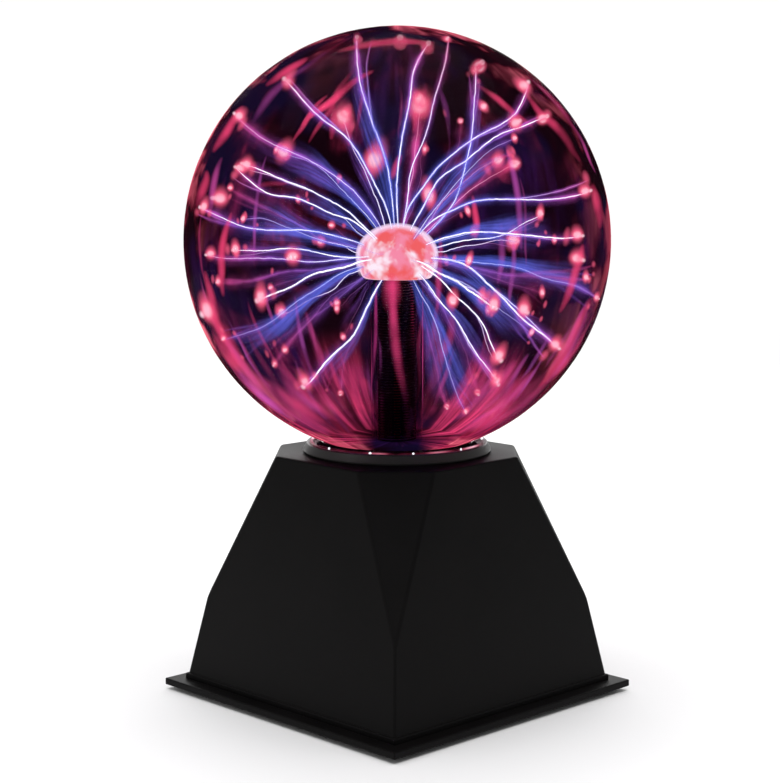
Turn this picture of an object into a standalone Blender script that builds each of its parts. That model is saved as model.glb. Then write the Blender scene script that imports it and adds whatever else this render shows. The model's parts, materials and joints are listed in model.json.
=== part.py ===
"""Plasma ball: a gas-filled glass globe, lit from an electrode on a glass stem, on a faceted black base.

Metres, +Z up. The origin is on the surface the ball stands on, below the globe's centre. The base's flat
sides face X and Y, and its back, with the rocker switch and the supply jack, faces +Y.
"""

import math

import bmesh
import bpy
from mathutils import Matrix, Vector

GAP = 0.0003                    # left between pieces that touch

# Base housing
FOOT_HEIGHT = 0.0020            # also the height of the flange's underside
FLANGE_HALF = 0.0761
FLANGE_TOP = FOOT_HEIGHT + 0.0032
PLINTH_HALF = 0.0694
PLINTH_TOP = FOOT_HEIGHT + 0.0058
BODY_FOOT_HALF = 0.06835
BODY_TOP_HALF = 0.04995
BODY_TOP = FOOT_HEIGHT + 0.1103
FACET_TOP = 0.0540              # distance from the axis to a corner facet at the body's top
FACET_TIP = FOOT_HEIGHT + 0.0409
WALL = 0.0024
EDGE_RADIUS = 0.0009
BODY_TILT = math.atan((BODY_FOOT_HALF - BODY_TOP_HALF) / (BODY_TOP - PLINTH_TOP))

# Bottom cover and its screws
COVER_HALF = 0.0659
COVER_BOTTOM = FOOT_HEIGHT + GAP
COVER_TOP = COVER_BOTTOM + 0.0030
LEDGE_HALF = 0.0644
COVER_SCREW_AT = 0.0590
FOOT_AT = 0.0450
FOOT_RADIUS = 0.0080
SCREW_RADIUS = 0.0013
PILOT_RADIUS = SCREW_RADIUS + GAP
HEAD_RADIUS = 0.0028

# Globe, neck and stem. Their turned faces share NECK_STEPS, so that their flats line up.
GLOBE_RADIUS = 0.0980
GLOBE_CENTRE = FOOT_HEIGHT + 0.2052
GLOBE_WALL = 0.0022
NECK_RADIUS = 0.0352
NECK_FILLET = 0.0040
NECK_BOTTOM = FOOT_HEIGHT + 0.0950
NECK_STEPS = 32
COLLAR_STEPS = 48
STEM_RADIUS = 0.01145
STEM_WALL = 0.0014
STEM_STEPS = 24
FLARE_TOP = FOOT_HEIGHT + 0.1160
FLARE_BOTTOM = NECK_BOTTOM + 0.0012
BULB_RADIUS = 0.0173
BULB_CENTRE = FOOT_HEIGHT + 0.1990
BULB_HEIGHT = 0.0137            # from the bulb's centre to its top
BULB_BASE_RADIUS = 0.0143
BULB_BOTTOM = FOOT_HEIGHT + 0.1892
LINING_THICK = 0.0010
COIL_RADIUS = 0.0090
COIL_WALL = 0.0008
LEAD_RADIUS = 0.0015

# Collar, gasket and the cradle that carries the neck
COLLAR_TOP = FOOT_HEIGHT + 0.1150
COLLAR_FOOT_RADIUS = 0.0429
COLLAR_TOP_RADIUS = 0.0414
COLLAR_LIP_RADIUS = 0.0366
COLLAR_RIM_RADIUS = 0.0388        # where the dished inside, which follows the globe, meets the top
SKIRT_RADIUS = 0.0390
SKIRT_WALL = 0.0015
SKIRT_BOTTOM = FOOT_HEIGHT + 0.1030
NECK_HOLE_RADIUS = SKIRT_RADIUS + GAP
CRADLE_HALF = 0.0395
CRADLE_TOP = FOOT_HEIGHT + 0.0997
CRADLE_THICK = 0.0030
CRADLE_BOTTOM = FOOT_HEIGHT + 0.0905
CRADLE_SCREW_AT = 0.0325

# Back panel: local places are (across, out of the face, up the face)
PANEL_HEIGHT = FOOT_HEIGHT + 0.0260
SWITCH_AT = 0.0160
JACK_AT = -0.0160
MICROPHONE_UP = 0.0230
SWITCH_CUTOUT = (0.0133, 0.0197)
ROCKER_TILT = math.radians(11)
ROCKER_PIVOT_DEPTH = -0.0025
ROCKER_HALF_WIDTH = 0.0050
TRUNNION_RADIUS = 0.0009

# Driver board
BOARD_BOTTOM = FOOT_HEIGHT + 0.0096
BOARD_TOP = BOARD_BOTTOM + 0.0016
BOARD_SIZE = (0.0840, 0.0600)
BOARD_SCREW_AT = (0.0380, 0.0260)
ON_BOARD = BOARD_TOP + GAP
CORE_AT = (-0.0140, -0.0040)
CORE_LEG = 0.0080
CORE_LEG_AT = 0.0120            # from the core's middle to the middle of a leg
CORE_HEIGHT = 0.0380

MATERIALS = {
    # name: (colour, roughness, metallic)
    "black_abs": ((0.010, 0.0095, 0.0095), 0.42, 0.0),
    "black_satin": ((0.012, 0.011, 0.011), 0.30, 0.0),
    "rubber": ((0.015, 0.015, 0.015), 0.85, 0.0),
    "foam": ((0.030, 0.028, 0.028), 0.95, 0.0),
    "clear_glass": ((0.92, 0.94, 0.96), 0.03, 0.0),
    "electrode_lining": ((0.93, 0.30, 0.40), 0.50, 0.0),
    "coil_wire": ((0.06, 0.05, 0.07), 0.40, 0.9),
    "lead_red": ((0.45, 0.02, 0.02), 0.45, 0.0),
    "lead_black": ((0.015, 0.015, 0.015), 0.50, 0.0),
    "board_green": ((0.02, 0.16, 0.06), 0.45, 0.0),
    "ferrite": ((0.05, 0.05, 0.055), 0.55, 0.0),
    "bobbin": ((0.02, 0.02, 0.02), 0.50, 0.0),
    "winding": ((0.42, 0.14, 0.04), 0.35, 0.8),
    "aluminium": ((0.78, 0.78, 0.78), 0.35, 1.0),
    "zinc_steel": ((0.62, 0.61, 0.58), 0.30, 1.0),
    "nickel": ((0.70, 0.68, 0.62), 0.22, 1.0),
    "epoxy": ((0.02, 0.02, 0.022), 0.50, 0.0),
    "capacitor_sleeve": ((0.02, 0.03, 0.09), 0.35, 0.0),
    "film_capacitor": ((0.50, 0.13, 0.02), 0.35, 0.0),
    "trimmer_blue": ((0.02, 0.10, 0.45), 0.40, 0.0),
}


def clear_scene():
    for obj in list(bpy.data.objects):
        bpy.data.objects.remove(obj, do_unlink=True)


def new_collection(name, helpers=False):
    made = bpy.data.collections.new(name)
    bpy.context.scene.collection.children.link(made)
    made.hide_render = helpers
    return made


def material(name):
    found = bpy.data.materials.get(name)
    if found:
        return found
    colour, roughness, metallic = MATERIALS[name]
    made = bpy.data.materials.new(name)
    made.use_nodes = True
    made.diffuse_color = (*colour, 1.0)
    shader = made.node_tree.nodes["Principled BSDF"]
    shader.inputs["Base Color"].default_value = (*colour, 1.0)
    shader.inputs["Roughness"].default_value = roughness
    shader.inputs["Metallic"].default_value = metallic
    if name == "clear_glass":
        shader.inputs["Transmission Weight"].default_value = 1.0
    return made


class Workshop:
    """Makes the objects, and puts the parts in one collection and the helpers in another."""

    def __init__(self):
        self.parts = new_collection("plasma_ball")
        self.cutters = new_collection("cutters", helpers=True)
        self.back_panel = bpy.data.objects.new("back_panel", None)
        self.back_panel.location = (0, body_half(PANEL_HEIGHT), PANEL_HEIGHT)
        self.back_panel.rotation_euler = (BODY_TILT, 0, 0)
        self.parts.objects.link(self.back_panel)

    def link(self, obj, finish=None, on_panel=False):
        """A part has a finish, and a cutter or other helper has none."""
        if finish:
            self.parts.objects.link(obj)
            obj.data.materials.append(material(finish))
        else:
            self.cutters.objects.link(obj)
            obj.hide_render = True
            obj.display_type = "WIRE"
        if on_panel:
            obj.parent = self.back_panel
        bpy.context.view_layer.update()
        return obj

    def mesh(self, name, bm, finish=None, on_panel=False):
        bmesh.ops.recalc_face_normals(bm, faces=bm.faces)
        data = bpy.data.meshes.new(name)
        bm.to_mesh(data)
        bm.free()
        return self.link(bpy.data.objects.new(name, data), finish, on_panel)

    def boxes(self, name, boxes, finish=None, on_panel=False):
        """One object of separate boxes, each given as (centre, size)."""
        bm = bmesh.new()
        for centre, size in boxes:
            place = Matrix.Translation(centre) @ Matrix.Diagonal((*size, 1.0))
            bmesh.ops.create_cube(bm, size=1.0, matrix=place)
        return self.mesh(name, bm, finish, on_panel)

    def rods(self, name, rods, finish=None, on_panel=False, segments=16):
        """One object of separate cylinders, each given as (start, end, radius)."""
        bm = bmesh.new()
        for start, end, radius in rods:
            start, end = Vector(start), Vector(end)
            turn = (end - start).to_track_quat("Z", "Y").to_matrix().to_4x4()
            place = Matrix.Translation((start + end) / 2) @ turn
            bmesh.ops.create_cone(
                bm, cap_ends=True, segments=segments, radius1=radius, radius2=radius,
                depth=(end - start).length, matrix=place,
            )
        return self.mesh(name, bm, finish, on_panel)

    def turned(self, name, profile, finish=None, at=(0, 0, 0), on_panel=False, steps=16, ring=False):
        """A profile of (radius, height) turned round Z. It runs down the outer side; a ring closes on itself."""
        data = bpy.data.meshes.new(name)
        edges = [(i, i + 1) for i in range(len(profile) - 1)]
        if ring:
            edges.append((len(profile) - 1, 0))
        data.from_pydata([(radius, 0, height) for radius, height in profile], edges, [])
        obj = self.link(bpy.data.objects.new(name, data), finish, on_panel)
        obj.location = at
        screw = obj.modifiers.new("turn", "SCREW")
        screw.steps = screw.render_steps = steps
        screw.use_merge_vertices = True
        screw.merge_threshold = 0.00005
        return obj

    def plate(self, name, outlines, bottom, top, finish=None, on_panel=False):
        """Flat outlines filled between two heights. A second outline inside the first is a hole."""
        data = bpy.data.curves.new(name, "CURVE")
        data.dimensions = "2D"
        data.fill_mode = "BOTH"
        data.extrude = (top - bottom) / 2
        for outline in outlines:
            spline = data.splines.new("POLY")
            spline.points.add(len(outline) - 1)
            for point, (x, y) in zip(spline.points, outline):
                point.co = (x, y, 0, 1)
            spline.use_cyclic_u = True
        curve = bpy.data.objects.new(name, data)
        curve.location = (0, 0, (top + bottom) / 2)
        return self.as_mesh(curve, name, finish, on_panel)

    def wire(self, name, route, radius, finish):
        """A round wire along a smooth curve through the route's points."""
        data = bpy.data.curves.new(name, "CURVE")
        data.dimensions = "3D"
        data.bevel_depth = radius
        data.bevel_resolution = 2
        data.use_fill_caps = True
        points = smooth_route(route)
        spline = data.splines.new("POLY")
        spline.points.add(len(points) - 1)
        for point, place in zip(spline.points, points):
            point.co = (*place, 1)
        return self.link(bpy.data.objects.new(name, data), finish)

    def as_mesh(self, curve, name, finish, on_panel):
        self.cutters.objects.link(curve)
        bpy.context.view_layer.update()
        graph = bpy.context.evaluated_depsgraph_get()
        data = bpy.data.meshes.new_from_object(curve.evaluated_get(graph))
        bm = bmesh.new()
        bm.from_mesh(data)
        bmesh.ops.remove_doubles(bm, verts=bm.verts, dist=0.00001)
        bmesh.ops.transform(bm, matrix=curve.matrix_world, verts=bm.verts)
        bpy.data.objects.remove(curve, do_unlink=True)
        bpy.data.meshes.remove(data)
        return self.mesh(name, bm, finish, on_panel)


def smooth_route(route, per_stretch=4):
    """Points on a Catmull-Rom curve through the route."""
    route = [Vector(point) for point in route]
    ends = [route[0] * 2 - route[1], *route, route[-1] * 2 - route[-2]]
    points = []
    for before, start, end, after in zip(ends, ends[1:], ends[2:], ends[3:]):
        for step in range(per_stretch):
            t = step / per_stretch
            points.append(0.5 * (
                2 * start + (end - before) * t
                + (2 * before - 5 * start + 4 * end - after) * t ** 2
                + (3 * start - before - 3 * end + after) * t ** 3
            ))
    return [*points, route[-1]]


def combine(obj, other, operation):
    modifier = obj.modifiers.new(f"{operation.lower()} {other.name}", "BOOLEAN")
    modifier.operation = operation
    modifier.object = other


def cut(obj, *cutters):
    for cutter in cutters:
        combine(obj, cutter, "DIFFERENCE")


def join(obj, *others):
    for other in others:
        combine(obj, other, "UNION")


def bevel(obj, width, segments=2, angle=30):
    modifier = obj.modifiers.new("rounded edges", "BEVEL")
    modifier.width = width
    modifier.segments = segments
    modifier.limit_method = "ANGLE"
    modifier.angle_limit = math.radians(angle)


def settle(obj):
    """Turns a part's modifiers into its mesh, with round faces shaded smooth."""
    graph = bpy.context.evaluated_depsgraph_get()
    data = bpy.data.meshes.new_from_object(obj.evaluated_get(graph))
    obj.modifiers.clear()
    obj.data = data
    data.name = obj.name
    data.shade_smooth()
    data.set_sharp_from_angle(angle=math.radians(35))


def arc(centre, radius, start, end, count):
    """Points on an arc, its angles in degrees from +X."""
    cx, cy = centre
    angles = [math.radians(start + (end - start) * i / (count - 1)) for i in range(count)]
    return [(cx + radius * math.cos(a), cy + radius * math.sin(a)) for a in angles]


def round_square(half, radius, count=4):
    """A square outline with rounded corners."""
    near = half - radius
    corners = ((near, near, 0), (-near, near, 90), (-near, -near, 180), (near, -near, 270))
    return [point for x, y, turn in corners for point in arc((x, y), radius, turn, turn + 90, count)]


def body_half(height):
    """Half the body's width between its flat sides, at a height."""
    return BODY_FOOT_HALF - (height - PLINTH_TOP) * math.tan(BODY_TILT)


def at_corners(x, y=None):
    y = x if y is None else y
    return [(x, y), (-x, y), (-x, -y), (x, -y)]


def make_body_shell(shop):
    """The body: a square frustum whose corners are cut by facets that narrow to a tip going down."""
    foot = PLINTH_TOP - 0.0022
    bm = bmesh.new()
    place = Matrix.Translation((0, 0, (foot + BODY_TOP) / 2)) @ Matrix.Rotation(math.radians(45), 4, "Z")
    bmesh.ops.create_cone(
        bm, cap_ends=True, segments=4, radius1=body_half(foot) * math.sqrt(2),
        radius2=BODY_TOP_HALF * math.sqrt(2), depth=BODY_TOP - foot, matrix=place,
    )
    tip = body_half(FACET_TIP) * math.sqrt(2)
    lean = math.atan((tip - FACET_TOP) / (BODY_TOP - FACET_TIP))
    for x, y in at_corners(math.sqrt(0.5)):
        normal = Vector((x * math.cos(lean), y * math.cos(lean), math.sin(lean)))
        on_facet = Vector((x * FACET_TOP, y * FACET_TOP, BODY_TOP))
        geometry = [*bm.verts, *bm.edges, *bm.faces]
        bmesh.ops.bisect_plane(bm, geom=geometry, plane_co=on_facet, plane_no=normal, clear_outer=True)
        bmesh.ops.holes_fill(bm, edges=[edge for edge in bm.edges if edge.is_boundary], sides=4)
    bmesh.ops.remove_doubles(bm, verts=bm.verts, dist=0.00005)
    bmesh.ops.delete(bm, geom=[face for face in bm.faces if face.normal.z < -0.9], context="FACES")
    shell = shop.mesh("base_housing", bm, "black_abs")
    solidify = shell.modifiers.new("wall", "SOLIDIFY")
    solidify.thickness = WALL
    solidify.offset = -1
    solidify.use_even_offset = True
    bevel(shell, EDGE_RADIUS, segments=2)
    return shell


def corner_boss(shop, name, x, y):
    """A screw boss that runs out to the housing's corner and merges with both walls."""
    across = 0.0045
    reach = 0.0661 * math.sqrt(2)       # where its two end faces, parallel to the walls, meet
    centre = COVER_SCREW_AT * math.sqrt(2)
    outline = arc((centre, 0), across, 90, 270, 7)
    outline += [(reach - across, -across), (reach, 0), (reach - across, across)]
    turn = math.atan2(y, x)
    cos, sin = math.cos(turn), math.sin(turn)
    turned = [(u * cos - v * sin, u * sin + v * cos) for u, v in outline]
    return shop.plate(name, [turned], FOOT_HEIGHT + 0.002, FOOT_HEIGHT + 0.014)


def square_box(shop, name, half, bottom, top, finish=None):
    return shop.boxes(name, [((0, 0, (bottom + top) / 2), (2 * half, 2 * half, top - bottom))], finish)


def make_housing(shop):
    housing = make_body_shell(shop)
    flange = square_box(shop, "flange_slab", FLANGE_HALF, FOOT_HEIGHT, FLANGE_TOP)
    bevel(flange, 0.0005, segments=2)
    plinth = square_box(shop, "plinth_slab", PLINTH_HALF, FOOT_HEIGHT + 0.001, PLINTH_TOP)
    bevel(plinth, 0.0006, segments=2)
    join(housing, flange, plinth)
    cut(housing, square_box(shop, "bottom_opening", LEDGE_HALF, -0.001, PLINTH_TOP + 0.001))
    for i, (x, y) in enumerate(at_corners(COVER_SCREW_AT), 1):
        join(housing, corner_boss(shop, f"corner_boss_{i}", x, y))
    top_bosses = [((x, y, FOOT_HEIGHT + 0.100), (x, y, BODY_TOP - WALL / 2), 0.0040)
                  for x, y in at_corners(CRADLE_SCREW_AT)]
    join(housing, shop.rods("cradle_bosses", top_bosses))
    recess_half = COVER_HALF + 0.0005
    cut(housing, square_box(shop, "cover_recess", recess_half, -0.001, COVER_TOP + GAP))
    cover_pilots = [((x, y, 0), (x, y, FOOT_HEIGHT + 0.0125), PILOT_RADIUS)
                    for x, y in at_corners(COVER_SCREW_AT)]
    cradle_pilots = [((x, y, FOOT_HEIGHT + 0.095), (x, y, FOOT_HEIGHT + 0.1065), PILOT_RADIUS)
                     for x, y in at_corners(CRADLE_SCREW_AT)]
    cut(housing, shop.rods("pilot_holes", cover_pilots + cradle_pilots, segments=12))
    through = [((0, 0, BODY_TOP - 0.008), (0, 0, BODY_TOP + 0.002), NECK_HOLE_RADIUS)]
    cut(housing, shop.rods("neck_hole", through, segments=COLLAR_STEPS))
    cut(housing, shop.boxes(
        "switch_cutout", [((SWITCH_AT, 0, 0), (SWITCH_CUTOUT[0], 0.012, SWITCH_CUTOUT[1]))], on_panel=True,
    ))
    cut(housing, shop.rods(
        "jack_hole", [((JACK_AT, -0.006, 0), (JACK_AT, 0.006, 0), 0.0042)], on_panel=True, segments=24,
    ))
    sound_holes = [((x, -0.006, MICROPHONE_UP), (x, 0.006, MICROPHONE_UP), 0.0007)
                   for x in (-0.0022, 0, 0.0022)]
    cut(housing, shop.rods("sound_holes", sound_holes, on_panel=True, segments=12))
    return housing


def make_cover(shop):
    cover = square_box(shop, "base_cover", COVER_HALF, COVER_BOTTOM, COVER_TOP, "black_abs")
    posts = [((x, y, COVER_TOP - 0.001), (x, y, BOARD_BOTTOM - GAP), 0.0032)
             for x, y in at_corners(*BOARD_SCREW_AT)]
    join(cover, shop.rods("board_posts", posts, segments=12))
    pilots = [((x, y, COVER_TOP), (x, y, BOARD_TOP), PILOT_RADIUS) for x, y in at_corners(*BOARD_SCREW_AT)]
    cut(cover, shop.rods("post_pilots", pilots, segments=12))
    for i, (x, y) in enumerate(at_corners(COVER_SCREW_AT), 1):
        sink = [(0, 0.006), (0.0017, 0.006), (0.0017, 0.0020), (0.0034, 0.0003), (0.0034, -0.002), (0, -0.002)]
        cut(cover, shop.turned(f"countersink_{i}", sink, at=(x, y, FOOT_HEIGHT), steps=12))
    slots = [((0.009 * i, 0, COVER_BOTTOM), (0.0028, 0.030, 0.012)) for i in range(-2, 3)]
    cut(cover, shop.boxes("vent_slots", slots))
    return cover


def countersunk_screw(shop, name, x, y):
    head = FOOT_HEIGHT + 0.0006
    profile = [(0, 0.0100), (0.0009, 0.0100), (SCREW_RADIUS, 0.0092), (SCREW_RADIUS, 0.0016),
               (HEAD_RADIUS, 0), (0, 0)]
    return shop.turned(name, profile, "zinc_steel", at=(x, y, head), steps=10)


def pan_screw(shop, name, at, length, turn=(0, 0, 0)):
    """A screw whose head rests on +Z at its own origin, with its shank going down."""
    profile = [(0, 0.0020), (0.0018, 0.0020), (HEAD_RADIUS, 0.0009), (HEAD_RADIUS, 0),
               (SCREW_RADIUS, 0), (SCREW_RADIUS, 0.0008 - length), (0.0009, -length), (0, -length)]
    screw = shop.turned(name, profile, "zinc_steel", at=at, steps=10)
    screw.rotation_euler = turn
    return screw


def make_base_fittings(shop):
    for i, (x, y) in enumerate(at_corners(COVER_SCREW_AT), 1):
        countersunk_screw(shop, f"cover_screw_{i}", x, y)
    foot = [(0, FOOT_HEIGHT), (FOOT_RADIUS, FOOT_HEIGHT), (FOOT_RADIUS, 0.0005), (FOOT_RADIUS - 0.0005, 0), (0, 0)]
    for i, (x, y) in enumerate(at_corners(FOOT_AT), 1):
        shop.turned(f"rubber_foot_{i}", foot, "rubber", at=(x, y, 0), steps=20)


def glass_side(radius, neck_radius, fillet, count):
    """One face of the glass: the globe's curve from its top, and the fillet that turns down into the neck."""
    across = neck_radius + fillet
    drop = math.sqrt((radius + fillet) ** 2 - across ** 2)
    meet = math.degrees(math.atan2(across, drop))
    curve = arc((0, 0), radius, 0, 90, count)[:-1] + arc((0, 0), radius, 90, 180 - meet, count)
    globe = [(r, GLOBE_CENTRE + z) for z, r in curve]
    globe[0] = (0, globe[0][1])
    step = math.degrees(GAP / NECK_FILLET)      # leaves the gap between the globe and its neck
    neck = arc((across, GLOBE_CENTRE - drop), fillet, 90 + meet + step, 180, 4)
    return globe, [*neck, (neck_radius, NECK_BOTTOM)]


def bulb_curve(inset, count):
    """Half the stem's bulb from its top to where its underside turns in to the tube, inset by a wall."""
    radius = BULB_RADIUS - inset
    height = BULB_HEIGHT - inset
    base = BULB_BASE_RADIUS - inset
    drop = BULB_CENTRE - BULB_BOTTOM - inset
    dome = [(radius * math.sin(a), BULB_CENTRE + height * math.cos(a))
            for a in (math.pi / 2 * i / count for i in range(count + 1))]
    waist = [(base + (radius - base) * math.cos(a), BULB_CENTRE - drop * math.sin(a))
             for a in (math.pi / 2 * i / 3 for i in range(1, 4))]
    return dome + waist


def flare_curve(tube_radius, end_radius, end_height):
    """A quarter ellipse from the stem's tube out to its foot."""
    height = FLARE_TOP - end_height
    reach = end_radius - tube_radius
    return [(tube_radius + reach * (1 - math.cos(a)), end_height + height * (1 - math.sin(a)))
            for a in (math.pi / 2 * i / 4 for i in range(5))]


def make_globe(shop):
    globe_out, neck_out = glass_side(GLOBE_RADIUS, NECK_RADIUS, NECK_FILLET, 9)
    globe_in, neck_in = glass_side(
        GLOBE_RADIUS - GLOBE_WALL, NECK_RADIUS - GLOBE_WALL, NECK_FILLET + GLOBE_WALL, 7)
    shop.turned("globe_glass", globe_out + globe_in[::-1], "clear_glass", steps=NECK_STEPS)
    shop.turned("globe_neck", neck_out + neck_in[::-1], "clear_glass", steps=NECK_STEPS, ring=True)
    foot_radius = NECK_RADIUS - GLOBE_WALL - 0.0005
    outside = bulb_curve(0, 5) + flare_curve(STEM_RADIUS, foot_radius, FLARE_BOTTOM + STEM_WALL)
    inside = bulb_curve(STEM_WALL, 5) + flare_curve(STEM_RADIUS - STEM_WALL, foot_radius, FLARE_BOTTOM)
    shop.turned("stem_glass", outside + inside[::-1], "clear_glass", steps=STEM_STEPS)
    skin = STEM_WALL + GAP
    lining = bulb_curve(skin, 5)[:-1] + bulb_curve(skin + LINING_THICK, 5)[:-1][::-1]
    shop.turned("electrode_lining", lining, "electrode_lining", steps=STEM_STEPS)
    coil_ends = (BULB_BOTTOM - 0.0010, FLARE_TOP - 0.0040)
    inner = COIL_RADIUS - COIL_WALL
    coil = [(COIL_RADIUS, coil_ends[0]), (COIL_RADIUS, coil_ends[1]), (inner, coil_ends[1]), (inner, coil_ends[0])]
    shop.turned("stem_coil", coil, "coil_wire", steps=STEM_STEPS, ring=True)
    plug_top = FLARE_TOP - 0.0050
    hole = LEAD_RADIUS + GAP
    plug = [(COIL_RADIUS, plug_top), (COIL_RADIUS, FLARE_BOTTOM), (hole, FLARE_BOTTOM), (hole, plug_top)]
    shop.turned("stem_plug", plug, "rubber", steps=STEM_STEPS, ring=True)
    tip_top = FLARE_BOTTOM - 0.0012
    tip = [(0, tip_top), (0.0030, tip_top), (0.0030, tip_top - 0.0060), (0.0012, tip_top - 0.0100),
           (0, tip_top - 0.0105)]
    shop.turned("exhaust_tip", tip, "clear_glass", at=(0.0200, 0, 0), steps=12)


def make_neck_fittings(shop):
    under = BODY_TOP + GAP
    lip_bottom = COLLAR_TOP - 0.0022
    skirt_inner = SKIRT_RADIUS - SKIRT_WALL
    collar = [
        (COLLAR_LIP_RADIUS, lip_bottom + 0.0005), (COLLAR_RIM_RADIUS, COLLAR_TOP - 0.0004),
        (COLLAR_RIM_RADIUS + 0.0006, COLLAR_TOP),
        *arc((COLLAR_TOP_RADIUS - 0.0010, COLLAR_TOP - 0.0010), 0.0010, 90, 15, 4),
        (COLLAR_FOOT_RADIUS, under), (SKIRT_RADIUS, under), (SKIRT_RADIUS, SKIRT_BOTTOM),
        (skirt_inner, SKIRT_BOTTOM), (skirt_inner, lip_bottom), (COLLAR_LIP_RADIUS, lip_bottom),
    ]
    shop.turned("neck_collar", collar, "black_satin", steps=COLLAR_STEPS, ring=True)
    gasket_top = lip_bottom - 0.0022
    gasket_outer = skirt_inner - GAP
    gasket_inner = NECK_RADIUS + GAP
    gasket = [(gasket_outer, gasket_top), (gasket_outer, SKIRT_BOTTOM), (gasket_inner, SKIRT_BOTTOM),
              (gasket_inner, gasket_top)]
    shop.turned("neck_gasket", gasket, "foam", steps=NECK_STEPS, ring=True)

    floor = CRADLE_BOTTOM + 0.0025
    cup_inner = NECK_RADIUS + 0.0008
    cup_outer = 0.0390
    opening = 0.0300
    cup = [(cup_outer, CRADLE_TOP), (cup_outer, CRADLE_BOTTOM), (opening, CRADLE_BOTTOM), (opening, floor),
           (cup_inner, floor), (cup_inner, CRADLE_TOP)]
    cradle = shop.turned("neck_cradle", cup, "black_abs", steps=NECK_STEPS, ring=True)
    plate_hole = arc((0, 0), 0.0375, 0, 348.75, NECK_STEPS)
    ears = shop.plate("cradle_plate", [round_square(CRADLE_HALF, 0.005), plate_hole],
                      CRADLE_TOP - CRADLE_THICK, CRADLE_TOP - 0.0001)
    join(cradle, ears)
    holes = [((x, y, CRADLE_TOP - 0.006), (x, y, CRADLE_TOP + 0.003), PILOT_RADIUS)
             for x, y in at_corners(CRADLE_SCREW_AT)]
    cut(cradle, shop.rods("cradle_holes", holes, segments=12))
    cushion_top = NECK_BOTTOM - GAP
    cushion_foot = floor + GAP
    cushion = [(NECK_RADIUS, cushion_top), (NECK_RADIUS, cushion_foot), (opening + 0.001, cushion_foot),
               (opening + 0.001, cushion_top)]
    shop.turned("rim_cushion", cushion, "rubber", steps=NECK_STEPS, ring=True)
    under_plate = CRADLE_TOP - CRADLE_THICK - GAP
    for i, (x, y) in enumerate(at_corners(CRADLE_SCREW_AT), 1):
        pan_screw(shop, f"cradle_screw_{i}", (x, y, under_plate), 0.0090, (math.pi, 0, 0))


def make_transformer(shop):
    """A two-part ferrite core whose left leg carries the bobbin and its winding."""
    x, y = CORE_AT
    half = CORE_HEIGHT / 2
    middle = ON_BOARD + half
    for name, side in (("core_lower", -1), ("core_upper", 1)):
        far = middle + side * half
        near = middle + side * GAP / 2
        inner = far - side * CORE_LEG
        left, right = x - CORE_LEG_AT - CORE_LEG / 2, x + CORE_LEG_AT + CORE_LEG / 2
        outline = [(left, far), (left, near), (left + CORE_LEG, near), (left + CORE_LEG, inner),
                   (right - CORE_LEG, inner), (right - CORE_LEG, near), (right, near), (right, far)]
        core = shop.plate(name, [outline], -CORE_LEG / 2, CORE_LEG / 2, "ferrite")
        core.rotation_euler = (math.pi / 2, 0, 0)
        core.location = (0, y, 0)
    leg_x = x - CORE_LEG_AT
    low, high = ON_BOARD + CORE_LEG + GAP, ON_BOARD + CORE_HEIGHT - CORE_LEG - GAP
    tube, rim, cheek = 0.0072, 0.0140, 0.0015
    bore = 0.0062
    profile = [(rim, high), (rim, high - cheek), (tube, high - cheek), (tube, low + cheek), (rim, low + cheek),
               (rim, low), (bore, low), (bore, high)]
    shop.turned("bobbin", profile, "bobbin", at=(leg_x, y, 0), steps=20, ring=True)
    coil_top, coil_foot = high - cheek - GAP, low + cheek + GAP
    coil = [(rim - 0.001, coil_top), (rim - 0.001, coil_foot), (tube + GAP, coil_foot), (tube + GAP, coil_top)]
    shop.turned("coil_winding", coil, "winding", at=(leg_x, y, 0), steps=20, ring=True)


def make_board(shop):
    board = shop.boxes(
        "driver_board", [((0, 0, (BOARD_BOTTOM + BOARD_TOP) / 2), (*BOARD_SIZE, BOARD_TOP - BOARD_BOTTOM))],
        "board_green",
    )
    holes = [((x, y, BOARD_BOTTOM - 0.001), (x, y, BOARD_TOP + 0.001), PILOT_RADIUS)
             for x, y in at_corners(*BOARD_SCREW_AT)]
    cut(board, shop.rods("board_holes", holes, segments=12))
    for i, (x, y) in enumerate(at_corners(*BOARD_SCREW_AT), 1):
        pan_screw(shop, f"board_screw_{i}", (x, y, ON_BOARD), 0.0070)


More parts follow.
